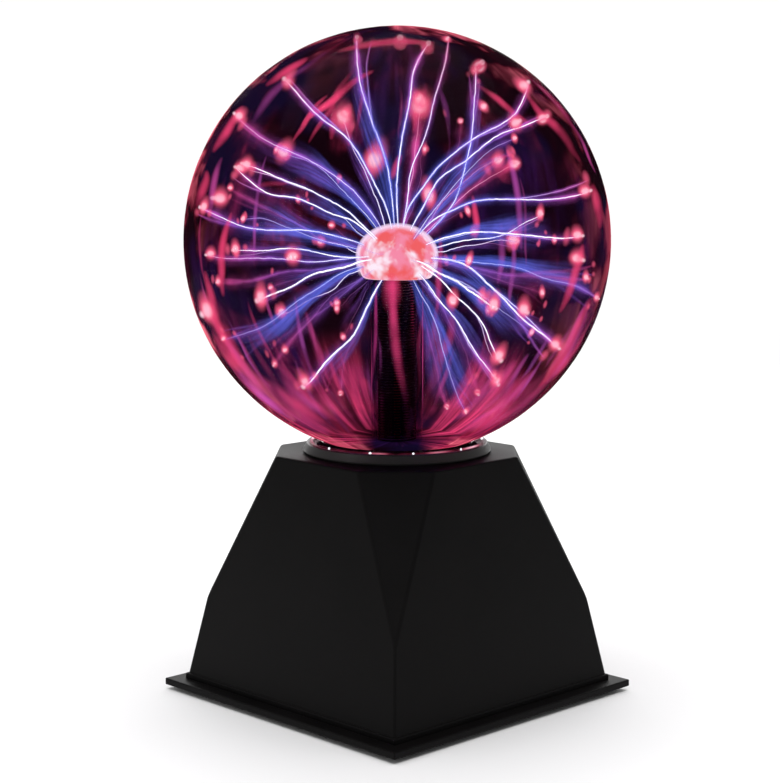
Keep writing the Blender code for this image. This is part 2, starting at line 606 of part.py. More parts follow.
def make_power_stage(shop):
    sink_x, sink_y, sink_height = 0.0200, -0.0180, 0.0280
    sink_middle = ON_BOARD + sink_height / 2
    fin, pitch, plate_thick, fin_length = 0.0012, 0.0050, 0.0030, 0.0080
    sink = shop.boxes("heat_sink", [((sink_x, sink_y + plate_thick / 2, sink_middle),
                                     (6 * pitch, plate_thick, sink_height))], "aluminium")
    root = 0.0010                       # how far a fin runs into the plate
    fins = [((sink_x + pitch * (i - 2.5), sink_y - (fin_length - root) / 2, sink_middle),
             (fin, fin_length + root, sink_height - 0.0004)) for i in range(6)]
    join(sink, shop.boxes("sink_fins", fins))
    face = sink_y + plate_thick
    screw_z = ON_BOARD + 0.0210
    cut(sink, shop.rods("sink_bore", [((sink_x, sink_y - 0.001, screw_z), (sink_x, face + 0.001, screw_z),
                                       PILOT_RADIUS)], segments=12))
    tab_back = face + GAP
    tab_thick = 0.0013
    transistor = shop.boxes("power_transistor", [
        ((sink_x, tab_back + 0.0022, ON_BOARD + 0.0110), (0.0100, 0.0044, 0.0090)),
    ], "epoxy")
    tab = shop.boxes("transistor_tab", [
        ((sink_x, tab_back + tab_thick / 2 + 0.00001, ON_BOARD + 0.0165), (0.0098, tab_thick, 0.0160))])
    legs = shop.boxes("transistor_legs", [
        ((sink_x + 0.00254 * i, tab_back + 0.0025, ON_BOARD + 0.0035), (0.0008, 0.0006, 0.0070))
        for i in (-1, 0, 1)])
    join(transistor, tab, legs)
    cut(transistor, shop.rods("tab_bore", [((sink_x, face, screw_z), (sink_x, face + 0.004, screw_z),
                                            PILOT_RADIUS)], segments=12))
    pan_screw(shop, "transistor_screw", (sink_x, tab_back + tab_thick + GAP, screw_z), 0.0080,
              (-math.pi / 2, 0, 0))


def make_board_parts(shop):
    make_transformer(shop)
    make_power_stage(shop)
    big = [(0, 0.0200), (0.0072, 0.0200), (0.0080, 0.0192), (0.0080, 0.0018), (0.0076, 0.0010), (0.0080, 0.0002),
           (0.0076, 0), (0, 0)]
    small = [(r * 0.5, z * 0.55) for r, z in big]
    shop.turned("supply_capacitor", big, "capacitor_sleeve", at=(0.0240, 0.0120, ON_BOARD), steps=20)
    shop.turned("timing_capacitor", small, "capacitor_sleeve", at=(0.0020, 0.0200, ON_BOARD), steps=16)
    film = shop.boxes("film_capacitor", [((0.0080, 0.0030, ON_BOARD + 0.0055), (0.0060, 0.0130, 0.0110))],
                      "film_capacitor")
    bevel(film, 0.0012, segments=2)
    chip = shop.boxes("oscillator_chip", [((-0.0160, 0.0210, ON_BOARD + 0.0027), (0.0096, 0.0064, 0.0034))],
                      "epoxy")
    pins = shop.boxes("chip_pins", [
        ((-0.0160 + 0.00254 * (i - 1.5), 0.0210 + side * 0.0036, ON_BOARD + 0.0013), (0.0007, 0.0014, 0.0026))
        for i in range(4) for side in (-1, 1)])
    join(chip, pins)
    trimmer = shop.boxes("gain_trimmer", [((-0.0330, 0.0190, ON_BOARD + 0.0024), (0.0068, 0.0068, 0.0048))],
                         "trimmer_blue")
    cut(trimmer, shop.boxes("trimmer_slot", [((-0.0330, 0.0190, ON_BOARD + 0.0048), (0.0008, 0.0040, 0.0016))]))


def make_switch(shop):
    """A snap-in rocker switch: a frame through the back panel, the rocker on its trunnions, and three blades."""
    body_half_x, body_half_z = SWITCH_CUTOUT[0] / 2 - GAP, SWITCH_CUTOUT[1] / 2 - GAP
    depth = 0.0135
    bezel_top = 0.0020
    frame = shop.boxes("switch_frame", [((SWITCH_AT, (0.0010 - depth) / 2, 0),
                                         (2 * body_half_x, depth + 0.0010, 2 * body_half_z))],
                       "black_satin", on_panel=True)
    bezel = shop.boxes("switch_bezel", [((SWITCH_AT, (GAP + bezel_top) / 2, 0),
                                         (0.0152, bezel_top - GAP, 0.0212))], on_panel=True)
    bevel(bezel, 0.0006, segments=2)
    join(frame, bezel)
    window_depth = 0.0090
    window = shop.boxes("switch_window", [((SWITCH_AT, (0.004 - window_depth) / 2, 0),
                                           (2 * ROCKER_HALF_WIDTH + 0.0008, window_depth + 0.004, 0.0174))],
                        on_panel=True)
    pivot_hole = shop.rods("pivot_hole", [((SWITCH_AT - 0.0060, ROCKER_PIVOT_DEPTH, 0),
                                           (SWITCH_AT + 0.0060, ROCKER_PIVOT_DEPTH, 0),
                                           TRUNNION_RADIUS + GAP)], on_panel=True, segments=12)
    cut(frame, window, pivot_hole)

    # The outline is drawn across the rocker: (out of the face, up the face), about the pivot.
    outline = [(0.0034, 0), (0.0052, -0.0070), (0.0046, -0.0076)]
    outline += [(0.0080 * math.sin(a), -0.0080 * math.cos(a)) for a in (0.35, 0.0, -0.30)]
    outline += [(-0.0040, -0.0040), (-0.0040, 0.0040)]
    outline += [(0.0080 * math.sin(a), 0.0080 * math.cos(a)) for a in (-0.30, 0.0, 0.35)]
    outline += [(0.0046, 0.0076), (0.0052, 0.0070)]
    bm = bmesh.new()
    ring = [bm.verts.new((-ROCKER_HALF_WIDTH, out, up)) for out, up in outline]
    side = bm.faces.new(ring)
    swept = bmesh.ops.extrude_face_region(bm, geom=[side])
    moved = [item for item in swept["geom"] if isinstance(item, bmesh.types.BMVert)]
    bmesh.ops.translate(bm, verts=moved, vec=(2 * ROCKER_HALF_WIDTH, 0, 0))
    rocker = shop.mesh("rocker", bm, "black_satin", on_panel=True)
    rocker.location = (SWITCH_AT, ROCKER_PIVOT_DEPTH, 0)
    rocker.rotation_euler = (-ROCKER_TILT, 0, 0)
    reach = SWITCH_CUTOUT[0] / 2 - 0.0009
    trunnions = shop.rods("trunnions", [((SWITCH_AT - reach, ROCKER_PIVOT_DEPTH, 0),
                                         (SWITCH_AT + reach, ROCKER_PIVOT_DEPTH, 0), TRUNNION_RADIUS)],
                          on_panel=True, segments=12)
    bevel(rocker, 0.0003, segments=1, angle=50)
    join(rocker, trunnions)
    for i, up in enumerate((-0.0065, 0, 0.0065), 1):
        shop.boxes(f"switch_blade_{i}", [((SWITCH_AT, -depth - GAP - 0.0035, up), (0.0048, 0.0070, 0.0008))],
                   "nickel", on_panel=True)


def make_jack(shop):
    """A threaded panel jack: its flange outside, its nut inside, and its centre pin in the bore."""
    turn = (-math.pi / 2, 0, 0)
    profile = [(0.0029, 0.0023), (0.0049, 0.0023), (0.0056, 0.0017), (0.0056, GAP), (0.0039, GAP),
               (0.0039, -0.0125), (0, -0.0125), (0, -0.0095), (0.0029, -0.0095)]
    jack = shop.turned("supply_jack", profile, "black_satin", on_panel=True, steps=24, ring=True)
    pin_foot = -0.0095 + GAP
    pin = [(0, 0.0004), (0.0007, 0.0004), (0.00105, -0.0002), (0.00105, pin_foot), (0, pin_foot)]
    pin = shop.turned("jack_pin", pin, "nickel", on_panel=True, steps=12)
    nut_top = -WALL - GAP
    nut = shop.plate("jack_nut", [arc((0, 0), 0.0060, 0, 300, 6), arc((0, 0), 0.0042, 0, 345, 24)],
                     nut_top - 0.0022, nut_top, "nickel", on_panel=True)
    for piece in (jack, pin, nut):
        piece.location = (JACK_AT, 0, 0)
        piece.rotation_euler = turn


def make_microphone(shop):
    front = -WALL - GAP
    capsule = [(0, front - 0.0003), (0.0046, front - 0.0003), (0.0046, front - 0.0063), (0, front - 0.0063)]
    grommet = [(0.0062, front), (0.0062, front - 0.0060), (0.0049, front - 0.0060), (0.0049, front)]
    pieces = (
        shop.turned("microphone", capsule, "nickel", on_panel=True, steps=20),
        shop.turned("microphone_grommet", grommet, "rubber", on_panel=True, steps=20, ring=True),
    )
    for piece in pieces:
        piece.location = (0, 0, MICROPHONE_UP)
        piece.rotation_euler = (-math.pi / 2, 0, 0)


def on_panel(across, out, up):
    """The world place of a point on the back panel."""
    foot = Vector((0, body_half(PANEL_HEIGHT), PANEL_HEIGHT))
    return foot + Matrix.Rotation(BODY_TILT, 3, "X") @ Vector((across, out, up))


def make_wires(shop):
    radius = 0.0008
    jack_back, blade_back, landing = -0.0132, -0.0218, ON_BOARD + 0.0004
    routes = {
        "wire_jack_to_switch": [
            on_panel(JACK_AT + 0.0020, jack_back, 0), on_panel(JACK_AT + 0.0030, jack_back - 0.0080, 0.0010),
            on_panel(0.0020, -0.0290, 0.0030), on_panel(SWITCH_AT - 0.0060, -0.0290, 0.0010),
            on_panel(SWITCH_AT, blade_back - 0.0012, 0),
        ],
        "wire_switch_to_board": [
            on_panel(SWITCH_AT, blade_back - 0.0012, 0.0065), on_panel(SWITCH_AT + 0.0020, -0.0290, 0.0060),
            (0.0180, 0.0300, ON_BOARD + 0.0160), (0.0130, 0.0250, ON_BOARD + 0.0070), (0.0120, 0.0240, landing),
        ],
        "wire_audio_to_board": [
            on_panel(SWITCH_AT, blade_back - 0.0012, -0.0065), on_panel(SWITCH_AT + 0.0005, -0.0270, -0.0070),
            (0.0130, 0.0330, ON_BOARD + 0.0050), (0.0090, 0.0270, ON_BOARD + 0.0040), (0.0080, 0.0260, landing),
        ],
        "wire_jack_ground": [
            on_panel(JACK_AT - 0.0020, jack_back, 0), on_panel(JACK_AT - 0.0030, jack_back - 0.0080, -0.0010),
            (-0.0220, 0.0330, ON_BOARD + 0.0070), (-0.0240, 0.0280, ON_BOARD + 0.0040),
            (-0.0245, 0.0260, landing),
        ],
        "wire_microphone": [
            on_panel(0.0010, -0.0102, MICROPHONE_UP), on_panel(0.0000, -0.0180, MICROPHONE_UP - 0.0010),
            on_panel(-0.0040, -0.0260, 0.0120), (-0.0060, 0.0310, ON_BOARD + 0.0080),
            (-0.0060, 0.0260, ON_BOARD + 0.0030), (-0.0060, 0.0250, landing),
        ],
    }
    for name, route in routes.items():
        shop.wire(name, route, radius, "lead_black" if "ground" in name else "lead_red")
    lead_foot = ON_BOARD + CORE_HEIGHT - CORE_LEG
    lead_x = CORE_AT[0] - CORE_LEG_AT
    shop.wire("high_voltage_lead", [
        (lead_x, 0.0045, lead_foot + 0.0003), (lead_x, 0.0048, lead_foot + 0.0120),
        (lead_x * 0.7, 0.0040, lead_foot + 0.0240), (lead_x * 0.15, 0.0010, lead_foot + 0.0360),
        (0, 0, FLARE_BOTTOM - 0.0090), (0, 0, FLARE_BOTTOM - 0.0020), (0, 0, FLARE_TOP), (0, 0, BULB_BOTTOM),
        (0, 0, BULB_CENTRE + 0.0060),
    ], LEAD_RADIUS, "lead_red")


def main():
    clear_scene()
    shop = Workshop()
    make_housing(shop)
    make_cover(shop)
    make_base_fittings(shop)
    make_globe(shop)
    make_neck_fittings(shop)
    make_board(shop)
    make_board_parts(shop)
    make_switch(shop)
    make_jack(shop)
    make_microphone(shop)
    make_wires(shop)
    bpy.context.view_layer.update()
    for obj in list(shop.parts.objects):
        if obj.type == "MESH":
            settle(obj)


main()
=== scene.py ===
"""Looks of a plasma ball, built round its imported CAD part: clear glass, glowing gas and black plastic.

Metres, +Z up, in the CAD frame. The front is the base's corner between its -Y and +X sides.
"""

import json
import math
import random

import bmesh
import bpy
from mathutils import Matrix, Vector, noise


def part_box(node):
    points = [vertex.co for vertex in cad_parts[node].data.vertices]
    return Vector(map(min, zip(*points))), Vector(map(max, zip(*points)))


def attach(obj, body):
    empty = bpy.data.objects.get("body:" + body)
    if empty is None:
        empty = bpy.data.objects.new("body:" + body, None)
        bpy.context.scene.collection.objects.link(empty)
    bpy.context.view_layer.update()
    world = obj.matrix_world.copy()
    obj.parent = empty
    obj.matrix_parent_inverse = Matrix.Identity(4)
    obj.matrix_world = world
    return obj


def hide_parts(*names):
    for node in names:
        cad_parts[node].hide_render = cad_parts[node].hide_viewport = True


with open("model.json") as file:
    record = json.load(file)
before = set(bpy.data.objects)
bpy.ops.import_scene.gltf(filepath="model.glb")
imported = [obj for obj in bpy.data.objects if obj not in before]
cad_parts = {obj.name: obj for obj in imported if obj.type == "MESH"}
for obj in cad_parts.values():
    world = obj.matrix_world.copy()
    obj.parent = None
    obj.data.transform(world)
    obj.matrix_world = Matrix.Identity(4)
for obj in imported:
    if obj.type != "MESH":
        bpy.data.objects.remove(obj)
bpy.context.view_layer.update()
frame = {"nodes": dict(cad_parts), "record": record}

# Directions, as someone facing the front corner sees them
UP = Vector((0, 0, 1))
FRONT = Vector((1, -1, 0)).normalized()
RIGHT = Vector((1, 1, 0)).normalized()

# Glass, from the CAD nodes' boxes and the CAD's wall thicknesses
GLOBE_LOW, GLOBE_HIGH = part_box("globe_glass")
GLOBE_RADIUS = (GLOBE_HIGH.x - GLOBE_LOW.x) / 2
GLOBE_CENTRE = Vector((0, 0, GLOBE_HIGH.z - GLOBE_RADIUS))
GLOBE_WALL = 0.0022
NECK_RADIUS = 0.0352
NECK_FILLET = 0.0040
NECK_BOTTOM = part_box("globe_neck")[0].z
STEM_LOW, STEM_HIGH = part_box("stem_glass")
STEM_RADIUS = 0.01145
STEM_WALL = 0.0014
FLARE_TOP = 0.1180
BULB_RADIUS = 0.0173
BULB_CENTRE = 0.2010
BULB_HEIGHT = STEM_HIGH.z - BULB_CENTRE
BULB_BASE_RADIUS = 0.0143
BULB_BOTTOM = 0.1912
INSIDE_RADIUS = GLOBE_RADIUS - GLOBE_WALL
# Painted glints, and a painted red reflection, on the glass at the neck: their radius, then the places of
# the glints
GLINT_RADIUS = 0.0390
GLINTS = (-50, -17, 11, 47, 96, 140, 171, 214, 262)     # degrees round the neck, from front to right
GLOBE_MIRROR = 0.03             # how much the round of the globe mirrors, against plain glass
COLLAR_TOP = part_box("neck_collar")[1].z

# Discharge
STEPS = 56                      # points along a streamer
HAZE_WIDTH = 2.8                # how wide and how strong a streamer's haze is, against its sheath
HAZE_POWER = 0.26
BEND = 0.0026                   # how far a streamer strays in its slow bends, and in its kinks
KINK = 0.00022
CREEP_STEPS = 24                # points along a light that creeps over the glass or down the stem
WISPS = 70                      # upright threads of light on the glass
TUFTS = 44                      # places round the neck for a flame; a few at the front stay empty
CORONA = 1.09                   # the glow round the electrode, against its glass


class Nodes:
    """One material's node tree, with a short call for each kind of node that is used."""

    def __init__(self, name):
        self.material = bpy.data.materials.new(name)
        self.material.use_nodes = True
        self.tree = self.material.node_tree
        self.tree.nodes.clear()
        self.output = self.tree.nodes.new("ShaderNodeOutputMaterial")

    def put(self, socket, value):
        """Links an output to an input, or sets a plain value on it."""
        if isinstance(value, bpy.types.NodeSocket):
            self.tree.links.new(value, socket)
        elif isinstance(value, tuple) and len(value) == 3 and socket.type == "RGBA":
            socket.default_value = (*value, 1)
        else:
            socket.default_value = value

    def node(self, kind, **inputs):
        made = self.tree.nodes.new(kind)
        for name, value in inputs.items():
            self.put(made.inputs[name.replace("_", " ")], value)
        return made

    def maths(self, operation, *values, clamp=False):
        made = self.tree.nodes.new("ShaderNodeMath")
        made.operation = operation
        made.use_clamp = clamp
        for socket, value in zip(made.inputs, values):
            self.put(socket, value)
        return made.outputs[0]

    def times(self, a, b):
        return self.maths("MULTIPLY", a, b)

    def vector(self, operation, *values):
        made = self.tree.nodes.new("ShaderNodeVectorMath")
        made.operation = operation
        for socket, value in zip(made.inputs, values):
            self.put(socket, value)
        return made.outputs["Value" if operation == "DOT_PRODUCT" else "Vector"]

    def place(self):
        return self.tree.nodes.new("ShaderNodeTexCoord").outputs["Object"]

    def height(self, place):
        return self.node("ShaderNodeSeparateXYZ", Vector=place).outputs["Z"]

    def along(self, name):
        """A number stored on the mesh's points."""
        made = self.tree.nodes.new("ShaderNodeAttribute")
        made.attribute_name = name
        return made.outputs["Fac"]

    def noise(self, place, scale, detail=2.0, rough=0.5, warp=0.0):
        made = self.node("ShaderNodeTexNoise", Vector=place, Scale=scale, Detail=detail, Roughness=rough)
        made.inputs["Distortion"].default_value = warp
        return made.outputs["Fac"]

    def ease(self, value, start, end, low=0.0, high=1.0):
        """Runs smoothly from low to high as value goes from start to end."""
        made = self.tree.nodes.new("ShaderNodeMapRange")
        made.interpolation_type = "SMOOTHSTEP"
        for name, number in zip(("Value", "From Min", "From Max", "To Min", "To Max"),
                                (value, start, end, low, high)):
            self.put(made.inputs[name], number)
        return made.outputs["Result"]

    def ramp(self, value, stops):
        made = self.tree.nodes.new("ShaderNodeValToRGB")
        self.put(made.inputs[0], value)
        points = made.color_ramp.elements
        while len(points) < len(stops):
            points.new(1.0)
        for point, (at, colour) in zip(points, stops):
            point.position = at
            point.color = (*colour, 1)
        return made.outputs["Color"]

    def blend(self, share, a, b):
        made = self.tree.nodes.new("ShaderNodeMix")
        made.data_type = "RGBA"
        self.put(made.inputs[0], share)
        self.put(made.inputs[6], a)
        self.put(made.inputs[7], b)
        return made.outputs[2]

    def bump(self, height, distance, strength=1.0):
        made = self.node("ShaderNodeBump", Height=height, Distance=distance, Strength=strength)
        return made.outputs["Normal"]

    def facing(self):
        """0 where the surface faces the eye, 1 at its edge."""
        made = self.tree.nodes.new("ShaderNodeLayerWeight")
        made.inputs["Blend"].default_value = 0.5
        return made.outputs["Facing"]

    def backfacing(self):
        return self.tree.nodes.new("ShaderNodeNewGeometry").outputs["Backfacing"]

    def clear(self):
        return self.tree.nodes.new("ShaderNodeBsdfTransparent").outputs[0]

    def light(self, colour, strength):
        return self.node("ShaderNodeEmission", Color=colour, Strength=strength).outputs[0]

    def mix(self, share, a, b):
        made = self.tree.nodes.new("ShaderNodeMixShader")
        self.put(made.inputs[0], share)
        self.put(made.inputs[1], a)
        self.put(made.inputs[2], b)
        return made.outputs[0]

    def surface(self, shader):
        self.tree.links.new(shader, self.output.inputs["Surface"])
        return self.material

    def glow(self, colour, strength, share):
        """A surface that adds its own light and lets the rest through, and lights nothing else."""
        self.material.cycles.emission_sampling = "NONE"
        return self.surface(self.mix(share, self.clear(), self.light(colour, strength)))


def principled(nodes, colour, roughness, normal=None, **settings):
    made = nodes.node("ShaderNodeBsdfPrincipled", Base_Color=colour, Roughness=roughness)
    if normal is not None:
        nodes.put(made.inputs["Normal"], normal)
    for name, value in settings.items():
        nodes.put(made.inputs[name.replace("_", " ")], value)
    return nodes.surface(made.outputs[0])


# Solid materials

def grained(name, dark, light, roughness, grain, depth, specular):
    """Moulded plastic or rubber: a spark-eroded grain, with slow changes in colour and gloss."""
    nodes = Nodes(name)
    place = nodes.place()
    slow = nodes.noise(place, 28.0, 3.0)
    fine = nodes.noise(place, grain, 3.0, 0.6)
    shade = nodes.maths("ADD", nodes.times(slow, 0.6), nodes.times(fine, 0.4))
    colour = nodes.blend(nodes.ease(shade, 0.35, 0.65), dark, light)
    wear = nodes.maths("ADD", nodes.times(slow, 0.5), nodes.times(fine, 0.5))
    gloss = nodes.ease(wear, 0.3, 0.7, roughness - 0.05, roughness + 0.06)
    return principled(nodes, colour, gloss, nodes.bump(fine, depth), Specular_IOR_Level=specular)


def metal(name, colour, roughness):
    nodes = Nodes(name)
    place = nodes.place()
    slow = nodes.noise(place, 120.0, 3.0)
    fine = nodes.noise(place, 900.0, 2.0)
    dark = tuple(0.82 * c for c in colour)
    shade = nodes.blend(nodes.ease(slow, 0.35, 0.65), colour, dark)
    gloss = nodes.ease(fine, 0.3, 0.7, roughness - 0.05, roughness + 0.08)
    return principled(nodes, shade, gloss, nodes.bump(fine, 0.00002, 0.5), Metallic=1.0)


def wound_copper(name):
    """Enamelled wire in close turns, one under the other."""
    nodes = Nodes(name)
    place = nodes.place()
    turn = nodes.maths("SINE", nodes.times(nodes.height(place), math.tau / 0.0004))
    slow = nodes.noise(place, 300.0, 2.0)
    colour = nodes.blend(nodes.ease(slow, 0.4, 0.6), (0.42, 0.13, 0.04), (0.30, 0.08, 0.025))
    return principled(nodes, colour, 0.32, nodes.bump(turn, 0.00012), Metallic=0.85)


def brushed_aluminium(name):
    nodes = Nodes(name)
    place = nodes.place()
    drawn = nodes.noise(nodes.vector("MULTIPLY", place, (1.0, 60.0, 1.0)), 45.0, 3.0)
    gloss = nodes.ease(drawn, 0.3, 0.7, 0.28, 0.46)
    colour = nodes.blend(nodes.ease(drawn, 0.3, 0.7), (0.62, 0.62, 0.63), (0.50, 0.50, 0.52))
    return principled(nodes, colour, gloss, nodes.bump(drawn, 0.00002), Metallic=1.0)


def solder_mask(name):
    nodes = Nodes(name)
    place = nodes.place()
    tracks = nodes.node("ShaderNodeTexVoronoi", Vector=place, Scale=160.0).outputs["Distance"]
    colour = nodes.blend(nodes.ease(tracks, 0.25, 0.32), (0.02, 0.13, 0.05), (0.012, 0.085, 0.035))
    return principled(nodes, colour, 0.3, nodes.bump(tracks, 0.00005), Coat_Weight=0.3)


def dress_cad_nodes():
    """Gives every carried-over CAD node its material, by the record's slots."""
    finishes = {
        "housing_black": grained("moulded_abs", (0.0022, 0.0019, 0.0020), (0.0036, 0.0031, 0.0032),
                                 0.47, 2600.0, 0.00004, 0.075),
        "satin_black": grained("satin_plastic", (0.010, 0.0095, 0.009), (0.014, 0.013, 0.0125),
                               0.33, 3800.0, 0.00002, 0.35),
        "rocker_black": grained("gloss_plastic", (0.007, 0.007, 0.007), (0.010, 0.010, 0.010),
                                0.20, 1500.0, 0.00001, 0.5),
        "rubber_black": grained("rubber", (0.009, 0.009, 0.009), (0.014, 0.014, 0.014),
                                0.78, 1800.0, 0.00006, 0.3),
        "gasket_foam": grained("foam_rubber", (0.015, 0.014, 0.014), (0.04, 0.038, 0.038),
                               0.92, 1400.0, 0.0003, 0.2),
        "wire_red": grained("red_insulation", (0.40, 0.012, 0.010), (0.50, 0.020, 0.014),
                            0.38, 900.0, 0.00003, 0.4),
        "wire_black": grained("black_insulation", (0.010, 0.010, 0.010), (0.016, 0.016, 0.016),
                              0.40, 900.0, 0.00003, 0.4),
        "board_green": solder_mask("solder_mask"),
        "ferrite": grained("ferrite", (0.020, 0.020, 0.022), (0.035, 0.035, 0.038),
                           0.55, 2000.0, 0.00005, 0.4),
        "bobbin_black": grained("bobbin_nylon", (0.008, 0.008, 0.008), (0.012, 0.012, 0.012),
                                0.45, 2200.0, 0.00003, 0.4),
        "copper_winding": wound_copper("enamelled_copper"),
        "aluminium": brushed_aluminium("brushed_aluminium"),
        "zinc_steel": metal("zinc_plate", (0.60, 0.60, 0.57), 0.30),
        "nickel": metal("nickel_plate", (0.62, 0.59, 0.52), 0.18),
        "capacitor_sleeve": grained("capacitor_sleeve", (0.008, 0.012, 0.07), (0.012, 0.018, 0.09),
                                    0.28, 1200.0, 0.00002, 0.5),
        "film_orange": grained("dipped_resin", (0.48, 0.085, 0.010), (0.58, 0.12, 0.015),
                               0.25, 700.0, 0.00005, 0.5),
        "trimmer_blue": grained("trimmer_blue", (0.012, 0.055, 0.34), (0.016, 0.07, 0.40),
                                0.42, 1500.0, 0.00003, 0.4),
    }
    for part in frame["record"]["subparts"]:
        finish = finishes.get(part["material_slot"])
        if finish is None:
            continue
        cad_node = frame["nodes"][part["node"]]
        cad_node.data.materials.clear()
        cad_node.data.materials.append(finish)


# Mesh work

def add_object(name, mesh, finish, slot, *stands_for):
    """Puts a mesh on the root body, with its material, and hides the CAD nodes that it stands for. The slot
    is not used.
    """
    piece = bpy.data.objects.new(name, mesh)
    bpy.context.scene.collection.objects.link(piece)
    mesh.materials.append(finish)
    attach(piece, "root")
    if stands_for:
        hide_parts(*stands_for)


def arc(centre, radius, start, end, count):
    """Points on a round stretch of a profile, with both ends. Angles are in degrees, from +r towards +z."""
    turns = (math.radians(start + (end - start) * i / count) for i in range(count + 1))
    return [(centre[0] + radius * math.cos(a), centre[1] + radius * math.sin(a)) for a in turns]


def turned(name, profile, steps, closed=True, sharp=35.0):
    """A mesh turned round the Z axis from (r, z) points, which run down the outer side."""
    bm = bmesh.new()
    rings = []
    for r, z in profile:
        if r < 1e-7:
            rings.append([bm.verts.new((0, 0, z))] * steps)
        else:
            rings.append([bm.verts.new((r * math.cos(a), r * math.sin(a), z))
                          for a in (math.tau * i / steps for i in range(steps))])
    pairs = list(zip(rings, rings[1:]))
    if closed:
        pairs.append((rings[-1], rings[0]))
    for upper, lower in pairs:
        for i in range(steps):
            corners = [upper[i], lower[i], lower[(i + 1) % steps], upper[(i + 1) % steps]]
            corners = list(dict.fromkeys(corners))
            if len(corners) > 2:
                bm.faces.new(corners)
    return as_mesh(name, bm, sharp)


def as_mesh(name, bm, sharp=35.0):
    mesh = bpy.data.meshes.new(name)
    bm.to_mesh(mesh)
    bm.free()
    mesh.shade_smooth()
    mesh.set_sharp_from_angle(angle=math.radians(sharp))
    return mesh


def sweep(name, strands, sides):
    """Tubes along strands, each a list of (point, radius, power, tone). The last two go on the points."""
    bm = bmesh.new()
    powers = []
    tones = []
    for strand in strands:
        across = UP.cross(strand[1][0] - strand[0][0])
        across = across if across.length > 1e-9 else Vector((1, 0, 0))
        rings = []
        for i, (point, radius, power, tone) in enumerate(strand):
            run = strand[min(i + 1, len(strand) - 1)][0] - strand[max(i - 1, 0)][0]
            run.normalize()
            across = (across - run * across.dot(run)).normalized()
            other = run.cross(across)
            ends = i in (0, len(strand) - 1)
            count = 1 if ends else sides
            reach = 0 if ends else radius
            ring = [bm.verts.new(point + reach * (math.cos(a) * across + math.sin(a) * other))
                    for a in (math.tau * k / sides for k in range(count))]
            rings.append(ring * (sides if ends else 1))
            powers.extend([power] * count)
            tones.extend([tone] * count)
        for lower, upper in zip(rings, rings[1:]):
            for k in range(sides):
                corners = [lower[k], lower[(k + 1) % sides], upper[(k + 1) % sides], upper[k]]
                corners = list(dict.fromkeys(corners))
                if len(corners) > 2:
                    bm.faces.new(corners)
    return with_light(as_mesh(name, bm, 180.0), powers, tones)


def with_light(mesh, powers, tones):
    for label, values in (("power", powers), ("tone", tones)):
        mesh.attributes.new(label, "FLOAT", "POINT").data.foreach_set("value", values)
    return mesh


# Glass

def globe_glass():
    """Mirrors in full at the neck, and only a little on the globe's round, where the discharge shows."""
    nodes = Nodes("globe_glass_clear")
    height = nodes.height(nodes.place())
    strength = nodes.ease(height, COLLAR_TOP + 0.0025, COLLAR_TOP + 0.0003, GLOBE_MIRROR, 1.0)
    return glass(nodes, strength)


def glass(nodes, strength, tint=(1.0, 1.0, 1.0)):
    """Clear polished glass: what is behind shows straight through, and its edge mirrors the most."""
    place = nodes.place()
    wave = nodes.noise(place, 22.0, 2.0)
    normal = nodes.bump(wave, 0.0006, 0.25)
    fresnel = nodes.node("ShaderNodeFresnel", IOR=1.45, Normal=normal).outputs[0]
    outer_face = nodes.maths("SUBTRACT", 1.0, nodes.backfacing())
    white = (1.0, 1.0, 1.0)
    mirror = nodes.node("ShaderNodeBsdfAnisotropic", Color=white, Roughness=0.03, Normal=normal)
    through = nodes.node("ShaderNodeBsdfTransparent", Color=tint)
    share = nodes.times(nodes.times(fresnel, outer_face), strength)
    return nodes.surface(nodes.mix(share, through.outputs[0], mirror.outputs[0]))


def globe_profile(radius, neck_radius, fillet):
    """One face of the glass from its top: the globe's arc, the fillet under it and the neck."""
    across = neck_radius + fillet
    drop = math.sqrt((radius + fillet) ** 2 - across ** 2)
    meet = math.degrees(math.atan2(across, drop))
    centre = (0, GLOBE_CENTRE.z)
    ball = arc(centre, radius, 90, 0, 36)[:-1] + arc(centre, radius, 0, meet - 90, 26)
    ball[0] = (0, ball[0][1])
    neck = arc((across, GLOBE_CENTRE.z - drop), fillet, 90 + meet, 180, 8)
    return ball + neck[1:] + [(neck_radius, NECK_BOTTOM)]


def make_globe():
    outside = globe_profile(GLOBE_RADIUS, NECK_RADIUS, NECK_FILLET)
    inside = globe_profile(INSIDE_RADIUS, NECK_RADIUS - GLOBE_WALL, NECK_FILLET + GLOBE_WALL)
    mesh = turned("globe", outside + inside[::-1], 128)
    add_object("globe", mesh, globe_glass(), "globe_glass", "globe_glass", "globe_neck")


def bulb_profile(inset, count):
    """The stem's bulb from its top to where its underside turns in to the tube, inset by a wall."""
    radius = BULB_RADIUS - inset
    height = BULB_HEIGHT - inset
    base = BULB_BASE_RADIUS - inset
    drop = BULB_CENTRE - BULB_BOTTOM - inset
    dome = [(radius * math.sin(a), BULB_CENTRE + height * math.cos(a))
            for a in (math.pi / 2 * i / count for i in range(count + 1))]
    waist = [(base + (radius - base) * math.cos(a), BULB_CENTRE - drop * math.sin(a))
             for a in (math.pi / 12 * i for i in range(1, 7))]
    return dome + waist


def flare_profile(tube_radius, end_radius, end_height):
    height = FLARE_TOP - end_height
    reach = end_radius - tube_radius
    return [(tube_radius + reach * (1 - math.cos(a)), end_height + height * (1 - math.sin(a)))
            for a in (math.pi / 24 * i for i in range(13))]


def make_stem():
    foot_radius = STEM_HIGH.x
    foot = STEM_LOW.z
    outside = bulb_profile(0, 14) + flare_profile(STEM_RADIUS, foot_radius, foot + STEM_WALL)
    inside = bulb_profile(STEM_WALL, 14) + flare_profile(STEM_RADIUS - STEM_WALL, foot_radius, foot)
    mesh = turned("stem", outside + inside[::-1], 72)
    finish = glass(Nodes("stem_glass_clear"), 0.35, (0.80, 0.74, 0.82))
    add_object("stem", mesh, finish, "globe_glass", "stem_glass")


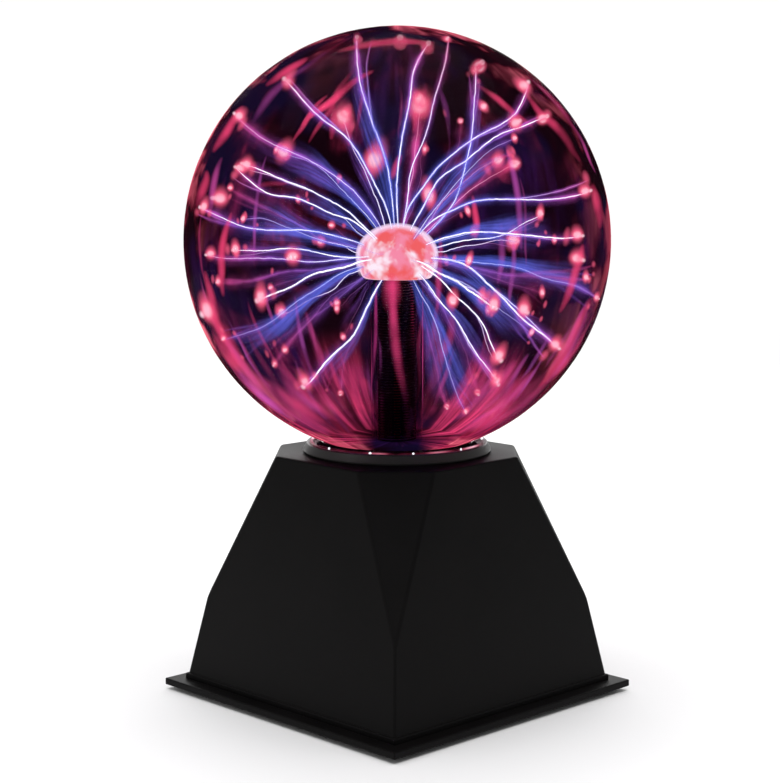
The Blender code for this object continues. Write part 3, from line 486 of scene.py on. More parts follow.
def make_coil():
    """The wire that is close wound inside the stem, as one helix."""
    low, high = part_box("stem_coil")
    wire = 0.00042
    radius = high.x - wire
    pitch = 0.00125
    turns = (high.z - low.z - 2 * wire) / pitch
    per_turn = 24
    points = []
    for i in range(int(turns * per_turn)):
        a = math.tau * i / per_turn
        height = low.z + wire + pitch * i / per_turn
        points.append((Vector((radius * math.cos(a), radius * math.sin(a), height)), wire, 1.0, 0.0))
    finish = metal("coil_wire_dark", (0.028, 0.016, 0.030), 0.30)
    add_object("wound_coil", sweep("wound_coil", [points], 6), finish, "coil_wire", "stem_coil")


def electrode_light():
    """Salmon pink with whiter patches, and almost white towards its edge."""
    nodes = Nodes("electrode_light")
    place = nodes.place()
    there = nodes.vector("ADD", place, (0.1, 0.4, 0.2))
    elsewhere = nodes.vector("ADD", place, (0.3, 0.1, 0.7))
    patch = nodes.ease(nodes.noise(there, 80.0, 3.0, 0.6, 0.3), 0.50, 0.70)
    blush = nodes.ease(nodes.noise(elsewhere, 120.0, 3.0), 0.36, 0.64)
    body = nodes.blend(blush, (0.88, 0.12, 0.13), (0.92, 0.26, 0.40))
    colour = nodes.blend(patch, body, (1.0, 0.84, 0.96))
    pale = nodes.ease(nodes.facing(), 0.62, 0.92)
    return nodes.surface(nodes.light(nodes.blend(pale, colour, (1.0, 0.70, 0.84)), 1.0))


def corona_light():
    """A pale ring along the bulb's edge that fades out round it, clear in front of it and below it."""
    nodes = Nodes("corona_light")
    facing = nodes.facing()
    height = nodes.height(nodes.place())
    ring = nodes.times(nodes.ease(facing, 0.42, 0.62), nodes.ease(facing, 0.96, 0.60))
    above = nodes.ease(height, BULB_BOTTOM, BULB_BOTTOM + 0.006, 0.0, 0.70)
    return nodes.glow((0.95, 0.70, 0.96), 1.0, nodes.times(ring, above))


def make_electrode():
    """The lit coating shows at the bulb's full size, as its light spreads through the glass."""
    outside = bulb_profile(-0.0002, 16)
    lining = turned("electrode", outside + [(0, outside[-1][1])], 96, closed=False)
    add_object("electrode", lining, electrode_light(), "electrode_glow", "electrode_lining")
    around = [(r * CORONA, BULB_CENTRE + (z - BULB_CENTRE) * CORONA) for r, z in bulb_profile(0, 16)]
    corona = turned("electrode_corona", around, 96, closed=False, sharp=180.0)
    add_object("electrode_corona", corona, corona_light(), "electrode_glow")


# Discharge

def outward(clock, reach, side):
    """A direction from the globe's centre: clock is in degrees, with 0 up and 90 to the right, reach is how
    far towards the rim it points, from 0 to 1, and side is 1 to the front and -1 to the back."""
    a = math.radians(clock)
    depth = side * math.sqrt(max(1 - reach * reach, 0))
    return reach * (math.sin(a) * RIGHT + math.cos(a) * UP) + depth * FRONT


def curve_point(a, b, c, d, t):
    s = 1 - t
    return a * s ** 3 + b * 3 * s * s * t + c * 3 * s * t * t + d * t ** 3


def wander(rng, points, slow, fast):
    """Shakes a line sideways: wide slow bends, and small sharp kinks."""
    shift = Vector((rng.uniform(0, 90), rng.uniform(0, 90), rng.uniform(0, 90)))
    last = len(points) - 1
    shaken = []
    for i, point in enumerate(points):
        t = i / last
        hold = min(t * 5, 1) * min((1 - t) * 4 + 0.25, 1)
        bend = noise.noise_vector(point * 42 + shift) * slow
        kink = noise.noise_vector(point * 380 + shift * 2) * fast
        shaken.append(point + (bend + kink) * hold)
    return shaken


def hold_inside(point, margin=0.0012):
    """Keeps a point off the glass."""
    out = point - GLOBE_CENTRE
    most = INSIDE_RADIUS - margin
    return point if out.length <= most else GLOBE_CENTRE + out * (most / out.length)


def route(rng, leave, arrive, clock, reach, side):
    """The middle line of a streamer, from the electrode to the inside of the globe."""
    lean = min(1.0, max(reach, 0.35))
    leave_way = outward(leave, lean, side)
    arrive_way = outward(arrive, lean, side)
    across = BULB_RADIUS - 0.0010
    start = Vector((leave_way.x * across, leave_way.y * across,
                    BULB_CENTRE + leave_way.z * (BULB_HEIGHT - 0.0010)))
    end = GLOBE_CENTRE + outward(clock, reach, side) * (INSIDE_RADIUS - 0.0016)
    span = (end - start).length
    first = start + leave_way * span * 0.42
    second = end - arrive_way * span * 0.32
    line = [curve_point(start, first, second, end, i / (STEPS - 1)) for i in range(STEPS)]
    return [hold_inside(point) for point in wander(rng, line, BEND, KINK)]


def fork(line, other, split):
    """A line that leaves line at a share of its way and ends where other does."""
    made = []
    for i, (a, b) in enumerate(zip(line, other)):
        t = max(0.0, (i / (len(line) - 1) - split) / (1 - split))
        w = t * t * (3 - 2 * t)
        made.append(a.lerp(b, w))
    return made


def strand(line, radius, power, tone, grow, fade):
    """A tube along line. Its radius grows and its power fades by a share, and tone holds its two ends."""
    last = len(line) - 1
    made = []
    for i, point in enumerate(line):
        t = i / last
        swell = min(1, 0.35 + 6 * t) * min(1, 0.15 + (1 - t) * 9)
        made.append((point, radius * (1 + grow * t) * swell, max(power * (1 - fade * t), 0.0),
                     min(max(tone[0] + (tone[1] - tone[0]) * t ** 1.5, 0), 1)))
    return made


def fan(rng, line, other, power, tone):
    """Rows of (point, power, tone) across the gap between two lines: a sheet of light with long streaks."""
    columns = 13
    streaks = [rng.uniform(0.15, 1.0) for _ in range(columns)]
    last = len(line) - 1
    rows = []
    for i, (a, b) in enumerate(zip(line, other)):
        t = i / last
        along = min(1, 0.25 + t * 8) * min(1, (1 - t) * 2.2) ** 1.5
        rows.append([(hold_inside(a.lerp(b, u)), power * along * streaks[k] * math.sin(math.pi * u) ** 1.3,
                      min(tone[0] + (tone[1] - tone[0]) * t ** 1.3, 1))
                     for k, u in ((k, k / (columns - 1)) for k in range(columns))])
    return rows


def sheets(name, fans):
    bm = bmesh.new()
    powers = []
    tones = []
    for rows in fans:
        grid = [[bm.verts.new(point) for point, _, _ in row] for row in rows]
        powers.extend(power for row in rows for _, power, _ in row)
        tones.extend(tone for row in rows for _, _, tone in row)
        for lower, upper in zip(grid, grid[1:]):
            for k in range(len(lower) - 1):
                bm.faces.new([lower[k], lower[k + 1], upper[k + 1], upper[k]])
    return with_light(as_mesh(name, bm, 180.0), powers, tones)


# How each kind of streamer looks: its thread's radius and power (shine), its sheath's radius and power
# (glow), how its tone runs from blue (0) to pink (1), its forks and how many degrees they spread, its fans
# with their width in degrees and power (veil), and the size of its foot on the glass
LOOK = ("thread", "shine", "sheath", "glow", "tone", "forks", "spread", "fans", "width", "veil", "foot")
KINDS = {
    "bright": (0.00044, 1.0, 0.0014, 0.62, (0.05, 0.75), 2, 3.0, 1, 6, 0.55, 0.75),
    "white": (0.00032, 0.95, 0.0011, 0.5, (0.12, 0.85), 1, 2.0, 0, 0, 0.0, 0.75),
    "blue": (0.00026, 0.6, 0.0013, 0.52, (0.02, 0.80), 2, 3.0, 1, 6, 0.6, 0.55),
    "band": (0.00020, 0.28, 0.0014, 0.32, (0.00, 0.60), 3, 4.0, 3, 9, 0.75, 0.38),
    "lavender": (0.00022, 0.35, 0.0014, 0.4, (0.35, 0.90), 1, 3.0, 1, 6, 0.4, 0.7),
    "thread": (0.00022, 0.5, 0.0008, 0.3, (0.40, 0.90), 0, 0.0, 0, 0, 0.0, 0.4),
    "pink": (0.00020, 0.25, 0.0022, 0.85, (0.78, 1.00), 1, 3.0, 0, 0, 0.0, 0.9),
    "faint": (0.00014, 0.12, 0.0014, 0.26, (0.45, 0.95), 1, 4.0, 1, 7, 0.22, 0.42),
}

# Colours of the discharge from tone 0 to tone 1
TONES = [
    (0.0, (0.10, 0.16, 0.85)), (0.30, (0.17, 0.17, 0.92)), (0.55, (0.40, 0.12, 0.80)),
    (0.78, (0.80, 0.12, 0.60)), (1.0, (0.98, 0.065, 0.20)),
]

# Streamers: where each leaves and how it arrives (clock), where it ends (clock, reach, side), and its kind
STREAMERS = [
    (-4, 4, -11, 0.97, 1, "blue"), (-8, -42, -34, 0.91, 1, "white"),
    (-24, -42, -51, 0.96, 1, "lavender"), (-34, -70, -55, 0.76, -1, "band"),
    (-40, -66, -61, 0.78, 1, "white"), (-44, -36, -63, 0.80, 1, "white"),
    (-66, -58, -79, 0.91, 1, "blue"), (-82, -98, -84, 0.80, -1, "band"),
    (-88, -92, -90, 0.72, 1, "blue"), (-95, -88, -95, 0.95, -1, "lavender"),
    (-96, -114, -110, 0.65, 1, "bright"), (-104, -95, -104, 0.93, -1, "faint"),
    (-108, -102, -118, 0.90, 1, "band"), (-118, -108, -124, 0.74, -1, "lavender"),
    (-152, -122, -146, 0.74, 1, "bright"), (-140, -140, -141, 0.52, -1, "faint"),
    (-155, -170, -160, 0.86, -1, "faint"), (-130, -150, -136, 0.90, -1, "faint"),
    (2, 30, 9, 0.93, 1, "white"), (10, -4, 9, 0.71, -1, "pink"), (8, 2, 14, 0.98, 1, "thread"),
    (10, 14, 39, 0.96, 1, "white"), (22, 70, 49, 0.90, 1, "white"), (50, 0, 25, 0.91, -1, "blue"),
    (42, 88, 54, 0.65, -1, "pink"), (48, 80, 59, 0.71, -1, "pink"), (36, 66, 47, 0.72, 1, "band"),
    (38, 66, 74, 0.92, 1, "white"), (62, 80, 86, 0.84, 1, "white"), (80, 60, 82, 0.74, -1, "blue"),
    (92, 114, 105, 0.97, 1, "band"), (88, 96, 94, 0.62, -1, "lavender"),
    (92, 128, 122, 0.87, 1, "bright"), (100, 118, 119, 0.50, 1, "bright"),
    (116, 128, 126, 0.84, -1, "band"), (112, 150, 136, 0.67, 1, "white"),
    (150, 152, 157, 0.80, 1, "band"), (140, 150, 146, 0.90, -1, "lavender"),
    (160, 168, 164, 0.90, -1, "faint"), (-20, -6, -24, 0.68, -1, "lavender"),
    (20, 12, 18, 0.45, -1, "faint"), (-40, -60, -48, 0.42, -1, "faint"),
    (60, 95, 74, 0.38, -1, "faint"), (-100, -110, -98, 0.42, -1, "lavender"),
    (120, 128, 122, 0.30, -1, "faint"), (-70, -60, -66, 0.30, 1, "faint"),
    (100, 90, 96, 0.32, 1, "faint"), (-60, -84, -72, 0.55, -1, "band"), (70, 100, 92, 0.80, -1, "band"),
    (132, 140, 142, 0.72, 1, "blue"), (104, 118, 112, 0.80, -1, "faint"),
    (122, 150, 131, 0.62, -1, "faint"), (140, 168, 150, 0.74, 1, "faint"),
    (-110, -126, -113, 0.72, -1, "faint"), (-122, -146, -132, 0.66, 1, "faint"),
    (-78, -60, -74, 0.88, -1, "faint"), (-142, -160, -152, 0.62, -1, "faint"),
    (96, 84, 99, 0.88, 1, "faint"), (28, 6, 29, 0.66, -1, "faint"),
]

# Where the glass glows although no streamer is drawn to it: clock, reach, side and size
SPOTS = [
    (-20, 0.41, -1, 1.5), (-26, 0.68, -1, 1.4), (9, 0.70, -1, 1.7), (-93, 0.46, 1, 0.9),
    (42, 0.25, -1, 1.0), (130, 0.33, 1, 0.7), (115, 0.64, 1, 0.8), (128, 0.56, -1, 0.7),
    (94, 0.61, -1, 0.9), (97, 0.93, -1, 1.0), (-78, 0.94, -1, 1.1), (-110, 0.97, 1, 0.9),
    (-139, 0.50, -1, 0.5), (1, 0.95, 1, 0.8), (25, 0.92, 1, 0.8), (34, 0.79, -1, 0.6),
    (44, 0.79, 1, 0.8), (-55, 0.75, -1, 1.1), (90, 0.40, -1, 0.6),
]

# Pink light that creeps over the glass: from (clock, reach) to (clock, reach), side, radius in mm and power
CREEPERS = [
    (-43, 0.75, -8, 0.85, -1, 2.6, 0.90), (-36, 0.60, -28, 0.78, -1, 3.0, 0.70),
    (-46, 0.66, -14, 0.88, -1, 2.2, 0.50), (-30, 0.52, -20, 0.74, -1, 2.8, 0.62),
    (-76, 0.76, -106, 0.82, 1, 2.4, 0.62), (-64, 0.62, -72, 0.80, -1, 2.0, 0.45),
    (8, 0.52, 10, 0.80, -1, 2.8, 0.75), (62, 0.44, 96, 0.40, -1, 2.4, 0.62),
    (88, 0.86, 112, 0.80, 1, 2.6, 0.50), (40, 0.92, 66, 0.95, 1, 2.6, 0.50),
    (-96, 0.90, -128, 0.93, 1, 2.8, 0.60), (104, 0.95, 136, 0.95, 1, 2.8, 0.55),
    (2, 0.42, -6, 0.28, -1, 2.6, 0.62), (-50, 0.72, -26, 0.80, -1, 1.8, 0.48),
    (26, 0.86, 52, 0.88, -1, 2.2, 0.45), (-80, 0.96, -68, 0.97, 1, 2.8, 0.50),
    (72, 0.96, 86, 0.97, 1, 2.8, 0.50), (-18, 0.93, 12, 0.95, 1, 2.2, 0.35),
    (-116, 0.97, -130, 0.97, 1, 3.0, 0.36), (118, 0.97, 134, 0.97, 1, 3.0, 0.34),
    (-64, 0.97, -47, 0.97, 1, 2.8, 0.60), (-40, 0.96, -25, 0.97, 1, 2.4, 0.50),
]

# Light that creeps down the stem, and painted highlights along its edges: degrees round it from the front to
# the right, heights of its ends, radius in mm, how far its lower end has turned in degrees, power and tone
STEM_LIGHTS_AND_PAINTED_HIGHLIGHTS = [
    (-8, 0.1930, 0.1340, 3.3, 26, 0.58, 0.97), (-8, 0.1960, 0.1740, 5.5, 0, 0.85, 0.98),
    # Painted highlights: the thin lines at 84 and -82 degrees, on the stem's right and left edges
    (84, 0.1905, 0.1200, 0.35, 3, 0.70, 0.9), (-82, 0.1700, 0.1200, 0.30, -3, 0.32, 0.95),
    (150, 0.1920, 0.1500, 1.8, -20, 0.7, 1.0), (-130, 0.1900, 0.1350, 1.4, 24, 0.6, 0.9),
]


def make_discharge():
    rng = random.Random(20)
    noise.seed_set(11)          # without this, noise_vector is different each time Blender starts
    threads = []
    sheaths = []
    fans = []
    feet = []
    for leave, arrive, clock, reach, side, kind in STREAMERS:
        look = dict(zip(LOOK, KINDS[kind]))
        tone = look["tone"]
        line = route(rng, leave, arrive, clock, reach, side)
        threads.append(strand(line, look["thread"], look["shine"], tone, -0.25, 0.45))
        sheaths.append(strand(line, look["sheath"], look["glow"], tone, 0.6, 0.1))
        sheaths.append(strand(line, look["sheath"] * HAZE_WIDTH, look["glow"] * HAZE_POWER, tone, 0.5, 0.1))
        feet.append((line[-1], look["foot"], rng.random(), True))
        for _ in range(look["forks"]):
            turn = rng.gauss(0, look["spread"])
            far = min(reach + rng.uniform(-0.08, 0.03), 0.99)
            end = route(rng, leave, arrive + turn * 2, clock + turn, far, side)
            side_line = fork(line, end, rng.uniform(0.15, 0.55))
            sheaths.append(strand(side_line, look["sheath"] * rng.uniform(0.5, 0.8),
                                  look["glow"] * rng.uniform(0.35, 0.7), tone, 0.5, 0.1))
            threads.append(strand(side_line, look["thread"] * 0.6, look["shine"] * rng.uniform(0.1, 0.5),
                                  tone, -0.2, 0.5))
            feet.append((side_line[-1], look["foot"] * 0.6, rng.random(), False))
        for _ in range(look["fans"]):
            turn = rng.choice((-1, 1)) * rng.uniform(0.7, 1.3) * look["width"]
            edge = route(rng, leave + turn * 0.5, arrive + turn, clock + turn,
                         min(reach * rng.uniform(0.82, 1.0), 0.99), side)
            fans.append(fan(rng, line, edge, look["veil"], (tone[0], tone[1] * 0.75)))
    for clock, reach, side, size in SPOTS:
        point = GLOBE_CENTRE + outward(clock, reach, side) * (INSIDE_RADIUS - 0.0022)
        feet.append((point, size, rng.random(), True))
    threads = sweep("discharge_threads", threads, 5)
    sheaths = sweep("discharge_sheaths", sheaths, 12)
    add_object("discharge_threads", threads, thread_light(), "electrode_glow")
    add_object("discharge_sheaths", sheaths, sheath_light(), "electrode_glow")
    add_object("discharge_fans", sheets("discharge_fans", fans), fan_light(), "electrode_glow")
    creepers = [creep(rng, *values) for values in CREEPERS] + [wisp(rng) for _ in range(WISPS)]
    # Among the stem's lights are painted highlights along its edges
    creepers += [stem_creep(rng, *values) for values in STEM_LIGHTS_AND_PAINTED_HIGHLIGHTS]
    creepers += [tuft(rng, i) for i in range(TUFTS) if abs(i - TUFTS / 2) > 3]
    add_object("glass_creepers_and_painted_highlights", sweep("glass_creepers_and_painted_highlights", creepers, 12), creeper_light(), "electrode_glow")
    make_feet(rng, feet)


def thread_light():
    nodes = Nodes("discharge_thread_light")
    power = nodes.along("power")
    hue = nodes.ramp(nodes.along("tone"), TONES)
    colour = nodes.blend(nodes.ease(power, 0.0, 0.45), hue, (0.95, 0.93, 1.0))
    return nodes.glow(colour, 1.4, nodes.ease(power, 0.0, 0.5))


def tube_light(name, sharpness, strength, grain, span):
    """Brightest in the middle of the tube, fading out to its edge. Its grain is a noise, eased over span."""
    nodes = Nodes(name)
    middle = nodes.maths("POWER", nodes.maths("SUBTRACT", 1.0, nodes.facing()), sharpness)
    wisps = nodes.ease(nodes.noise(nodes.place(), *grain), *span)
    share = nodes.times(nodes.times(nodes.along("power"), middle), wisps)
    return nodes.glow(nodes.ramp(nodes.along("tone"), TONES), strength, share)


def sheath_light():
    return tube_light("discharge_sheath_light", 6.0, 1.2, (150.0, 3.0, 0.6), (0.30, 0.68, 0.30, 1.0))


def creeper_light():
    return tube_light("glass_creeper_light", 5.0, 1.0, (80.0, 2.0, 0.5), (0.30, 0.65, 0.35, 1.0))


def fan_light():
    nodes = Nodes("discharge_fan_light")
    wisps = nodes.ease(nodes.noise(nodes.place(), 90.0, 3.0, 0.6), 0.25, 0.70, 0.40, 1.0)
    share = nodes.maths("MULTIPLY", nodes.along("power"), wisps, clamp=True)
    return nodes.glow(nodes.ramp(nodes.along("tone"), TONES), 0.9, share)


def creep(rng, clock, reach, to_clock, to_reach, side, radius, power):
    """Soft light over the glass, from one place to another."""
    start = outward(clock, reach, side)
    end = outward(to_clock, to_reach, side)
    radius = radius / 1000
    path = [GLOBE_CENTRE + start.slerp(end, i / (CREEP_STEPS - 1)) * (INSIDE_RADIUS - radius - 0.0008)
            for i in range(CREEP_STEPS)]
    path = [hold_inside(point, radius + 0.0006) for point in wander(rng, path, 0.0035, 0.0)]
    return tapered(path, radius, power, 1.0)


def stem_creep(rng, turn, top, bottom, radius, twist, power, tone):
    """Soft light down the stem, which fades towards its lower end. Thin ones along the stem's edges are
    painted highlights.
    """
    radius = radius / 1000
    path = []
    for i in range(CREEP_STEPS):
        t = i / (CREEP_STEPS - 1)
        a = math.radians(turn + twist * t * t)
        way = FRONT * math.cos(a) + RIGHT * math.sin(a)
        path.append(way * (STEM_RADIUS + radius * 0.6) + UP * (top + (bottom - top) * t))
    path = wander(rng, path, 0.0008 if radius > 0.001 else 0.0, 0.0)
    return [(point, r, light * (1.3 - 1.3 * i / (CREEP_STEPS - 1)), tone)
            for i, (point, r, light, tone) in enumerate(tapered(path, radius, power, tone))]


def climb(rng, turn, lifts, radius, gap, sway):
    """A line up the inside of the globe at one angle round it, through a list of angles above its middle."""
    path = []
    for lift in lifts:
        way = Vector((math.cos(turn) * math.cos(lift), math.sin(turn) * math.cos(lift), math.sin(lift)))
        path.append(GLOBE_CENTRE + way * (INSIDE_RADIUS - radius - gap))
    return [hold_inside(point, radius + 0.0006) for point in wander(rng, path, sway, 0.0)]


def wisp(rng):
    """An upright thread of pink light on the glass, anywhere round it, more of them low down."""
    turn = rng.uniform(0, math.tau)
    middle = math.radians(rng.choice((rng.uniform(-60, -28), rng.uniform(-60, 58))))
    half = math.radians(rng.uniform(7, 15))
    radius = rng.uniform(0.0009, 0.0026)
    steps = 20
    lifts = [middle + half * (2 * i / (steps - 1) - 1) for i in range(steps)]
    path = climb(rng, turn, lifts, radius, 0.0012, 0.0018)
    return tapered(path, radius, rng.uniform(0.08, 0.32), rng.uniform(0.70, 1.0))


def tuft(rng, i):
    """A broad soft flame that rises from the neck over the inside of the globe."""
    turn = math.tau * (i + rng.uniform(-0.4, 0.4)) / TUFTS + math.radians(135)
    low = math.radians(-68)
    rise = rng.choice((rng.uniform(10, 16), rng.uniform(14, 30), rng.uniform(28, 52)))
    high = low + math.radians(rise)
    radius = rng.uniform(0.0022, 0.0052)
    steps = 16
    lifts = [low + (high - low) * k / (steps - 1) for k in range(steps)]
    path = climb(rng, turn, lifts, radius, 0.0008, 0.003)
    seen = 0.25 + 0.75 * abs(FRONT.x * math.cos(turn) + FRONT.y * math.sin(turn))
    return tapered(path, radius, rng.uniform(0.20, 0.75) * min(1, 22 / rise) * seen, rng.uniform(0.9, 1.0))


def tapered(path, radius, power, tone):
    last = len(path) - 1
    return [(point, radius * math.sin(math.pi * (0.04 + 0.92 * i / last)) ** 0.6,
             power * math.sin(math.pi * i / last) ** 0.8, tone) for i, point in enumerate(path)]


def make_feet(rng, feet):
    """A flame where each streamer meets the glass: a pale heart in a pink cloud, drawn out upward."""
    hearts = []
    clouds = []
    for point, size, turn, bright in feet:
        out = (point - GLOBE_CENTRE).normalized()
        lift = UP - out * UP.dot(out)
        lift = lift.normalized() if lift.length > 0.05 else RIGHT
        lean = Matrix.Rotation(math.radians(50 * (turn - 0.5)), 3, out) @ lift
        length = 0.0046 * size * rng.uniform(0.8, 1.5)
        if bright:
            hearts.append(flame(point, lean, length * 0.4, 0.0020 * size, 0.70))
            clouds.append(flame(point, lean, length * 1.2, 0.0050 * size, 0.95))
        clouds.append(flame(point, lean, length * 1.8, 0.0052 * size, 0.46 if bright else 0.34))
    hearts = sweep("glass_spot_hearts", hearts, 14)
    clouds = sweep("glass_spot_clouds", clouds, 16)
    heart_light = spot_light("spot_heart", (1.0, 0.74, 0.86), 5.0)
    cloud_light = spot_light("spot_cloud", (1.0, 0.12, 0.25), 6.0)
    add_object("glass_spot_hearts", hearts, heart_light, "electrode_glow")
    add_object("glass_spot_clouds", clouds, cloud_light, "electrode_glow")


def flame(point, lean, length, radius, power):
    steps = 13
    made = []
    for i in range(steps):
        t = i / (steps - 1)
        bulge = math.sin(math.pi * t) ** 0.5
        middle = hold_inside(point + lean * length * (t - 0.4) * 2, radius + 0.0004)
        made.append((middle, radius * bulge, power * math.sin(math.pi * t), 1.0))
    return made


def spot_light(name, colour, sharpness):
    """Soft light with a core that is almost white where it is strong."""
    nodes = Nodes(name)
    power = nodes.along("power")
    middle = nodes.maths("SUBTRACT", 1.0, nodes.facing())
    core = nodes.times(nodes.ease(middle, 0.82, 1.0), nodes.ease(power, 0.40, 0.80))
    share = nodes.times(power, nodes.maths("POWER", middle, sharpness))
    return nodes.glow(nodes.blend(core, colour, (1.0, 0.70, 0.82)), 1.1, share)


# The globe's painted dark inside and the veils of light on its glass

def veils(nodes):
    """Height, then from 0 to 1: streaks that run up the globe, a broken band of light low down with a gap in
    line with the stem, and clouds of wisps."""
    way = nodes.vector("SUBTRACT", nodes.place(), tuple(GLOBE_CENTRE))
    height = nodes.height(way)
    about = nodes.vector("NORMALIZE", nodes.vector("MULTIPLY", way, (1.0, 1.0, 0.0)))
    width = 0.7 * GLOBE_RADIUS
    upright = nodes.vector("ADD", nodes.vector("MULTIPLY", about, (width, width, 0.0)),
                           nodes.vector("MULTIPLY", way, (0.0, 0.0, 0.12)))
    broad = nodes.ease(nodes.noise(upright, 2.6 / GLOBE_RADIUS, 2.0, 0.5, 0.3), 0.42, 0.60)
    streaks = nodes.ease(nodes.noise(upright, 9.0 / GLOBE_RADIUS, 3.0, 0.6, 0.2), 0.40, 0.64)
    fine = nodes.ease(nodes.noise(upright, 34.0 / GLOBE_RADIUS, 2.0), 0.40, 0.62, 0.45, 1.0)
    streaks = nodes.times(streaks, fine)
    level = nodes.maths("ADD", height, nodes.times(broad, -0.26 * GLOBE_RADIUS))
    low = nodes.ease(level, -0.72 * GLOBE_RADIUS, -1.10 * GLOBE_RADIUS)
    aside = nodes.maths("ABSOLUTE", nodes.vector("DOT_PRODUCT", way, tuple(RIGHT)))
    low = nodes.times(low, nodes.ease(aside, 0.009, 0.022))
    clouds = nodes.ease(nodes.noise(way, 2.4 / GLOBE_RADIUS, 3.0, 0.55, 0.6), 0.51, 0.68)
    wisps = nodes.times(clouds, nodes.maths("MULTIPLY_ADD", streaks, 0.85, 0.15))
    return height, streaks, low, wisps


def painted_dark_inside():
    """Painted darkness behind the gas: a far wall, almost black, that stands where the globe shows only
    dark, with crimson and violet wisps of the discharge's glow. Only the far wall shows.
    """
    nodes = Nodes("painted_dark_and_gas_glow")
    height, streaks, low, wisps = veils(nodes)
    place = nodes.place()
    dusk = nodes.ease(nodes.noise(place, 22.0, 2.0), 0.44, 0.60)
    # Painted darkness: this near-black stands in for the dark seen through the clear globe
    black = nodes.blend(dusk, (0.0055, 0.0008, 0.0030), (0.0055, 0.0026, 0.018))
    violet = nodes.ease(nodes.noise(nodes.vector("ADD", place, (0.5, 0.2, 0.9)), 18.0, 2.0), 0.52, 0.66)
    violet = nodes.times(violet, nodes.maths("MULTIPLY_ADD", streaks, 0.75, 0.05))
    dim = nodes.blend(violet, black, (0.024, 0.005, 0.052))
    glow = nodes.times(low, nodes.maths("MULTIPLY_ADD", streaks, 0.85, 0.05))
    wisp_power = nodes.ease(height, 0.2 * GLOBE_RADIUS, 0.8 * GLOBE_RADIUS, 0.22, 0.12)
    share = nodes.maths("MULTIPLY_ADD", wisps, wisp_power, glow, clamp=True)
    light = nodes.light(nodes.blend(share, dim, (0.78, 0.050, 0.17)), 1.0)
    nodes.material.use_backface_culling = True
    return nodes.surface(nodes.mix(nodes.backfacing(), light, nodes.clear()))


def rim_light():
    """Pink light towards the glass's edge, in soft patches that join up low down: partly the gas's glow,
    seen through more of it at the edge, and partly a painted reflection of the discharge in the glass.
    """
    nodes = Nodes("rim_light")
    height, streaks, low, _ = veils(nodes)
    # Brighter towards the edge: partly a painted reflection of the discharge in the glass
    edge = nodes.maths("POWER", nodes.facing(), 4.5)
    under = nodes.ease(height, 0.10 * GLOBE_RADIUS, -0.80 * GLOBE_RADIUS, 0.02, 0.26)
    under = nodes.times(under, nodes.maths("MULTIPLY_ADD", streaks, 0.9, 0.1))
    patches = nodes.ease(nodes.noise(nodes.place(), 30.0, 3.0, 0.6, 0.4), 0.47, 0.60, 0.0, 0.95)
    aside = nodes.maths("ABSOLUTE", nodes.vector("DOT_PRODUCT", nodes.place(), tuple(RIGHT)))
    above = nodes.ease(height, -0.70 * GLOBE_RADIUS, -0.3 * GLOBE_RADIUS)
    gap = nodes.maths("MAXIMUM", nodes.ease(aside, 0.009, 0.022), above)
    broken = nodes.times(patches, nodes.maths("MULTIPLY_ADD", streaks, 0.55, 0.45))
    lit_edge = nodes.maths("MULTIPLY_ADD", edge, 1.6, 0.004)
    bright = nodes.times(nodes.maths("ADD", under, broken), lit_edge)
    bright = nodes.times(bright, gap)
    share = nodes.maths("MULTIPLY_ADD", nodes.times(low, streaks), 0.5, bright, clamp=True)
    colour = nodes.blend(broken, (0.58, 0.018, 0.075), (1.0, 0.18, 0.27))
    return nodes.glow(colour, 1.0, share)


def make_neck_light():
    """Painted light where the glass turns into the collar: a ring of red light that stands in for the
    discharge's reflection in the neck's glass, and a few white glints that stand in for the lamps'
    reflections.
    """
    rng = random.Random(6)
    steps = 96
    # Painted reflection of the discharge: a dim red ring on the neck's glass
    ring = []
    for i in range(steps + 1):
        a = math.tau * i / steps
        way = FRONT * math.cos(a) + RIGHT * math.sin(a)
        power = 0.04 + 0.40 * max(noise.noise(way * 2.2 + UP * 3), 0) ** 0.8
        ring.append((way * GLINT_RADIUS + UP * (COLLAR_TOP - 0.0001), 0.0006, power, 1.0))
    strands = [ring]
    # Painted highlights: short white glints that stand in for the lamps' reflections
    for turn in GLINTS:
        middle = math.radians(turn)
        half = rng.uniform(0.010, 0.022)
        bow = [FRONT * math.cos(a) + RIGHT * math.sin(a) for a in (middle - half, middle, middle + half)]
        strands.append([(way * GLINT_RADIUS + UP * (COLLAR_TOP + 0.0002), size, 1.0, 0.9)
                        for way, size in zip(bow, (0.0, 0.0006, 0.0))])
    add_object("painted_neck_glints", sweep("painted_neck_glints", strands, 10), thread_light(), "electrode_glow")


def make_gas():
    neck = math.degrees(math.acos((NECK_RADIUS - GLOBE_WALL) / INSIDE_RADIUS))
    centre = (0, GLOBE_CENTRE.z)
    wall = arc(centre, INSIDE_RADIUS - 0.0003, 90, -neck, 60)
    wall[0] = (0, wall[0][1])
    floor = [(0, wall[-1][1])]
    # The far wall carries painted darkness and the gas's glow
    far = turned("painted_dark_and_gas_glow", (wall + floor)[::-1], 96, closed=False, sharp=180.0)
    add_object("painted_dark_and_gas_glow", far, painted_dark_inside(), "electrode_glow")
    film = arc(centre, INSIDE_RADIUS - 0.0002, 89.9, -neck, 60)
    film = turned("rim_glow", film, 96, closed=False, sharp=180.0)
    add_object("rim_glow", film, rim_light(), "electrode_glow")


# Collar

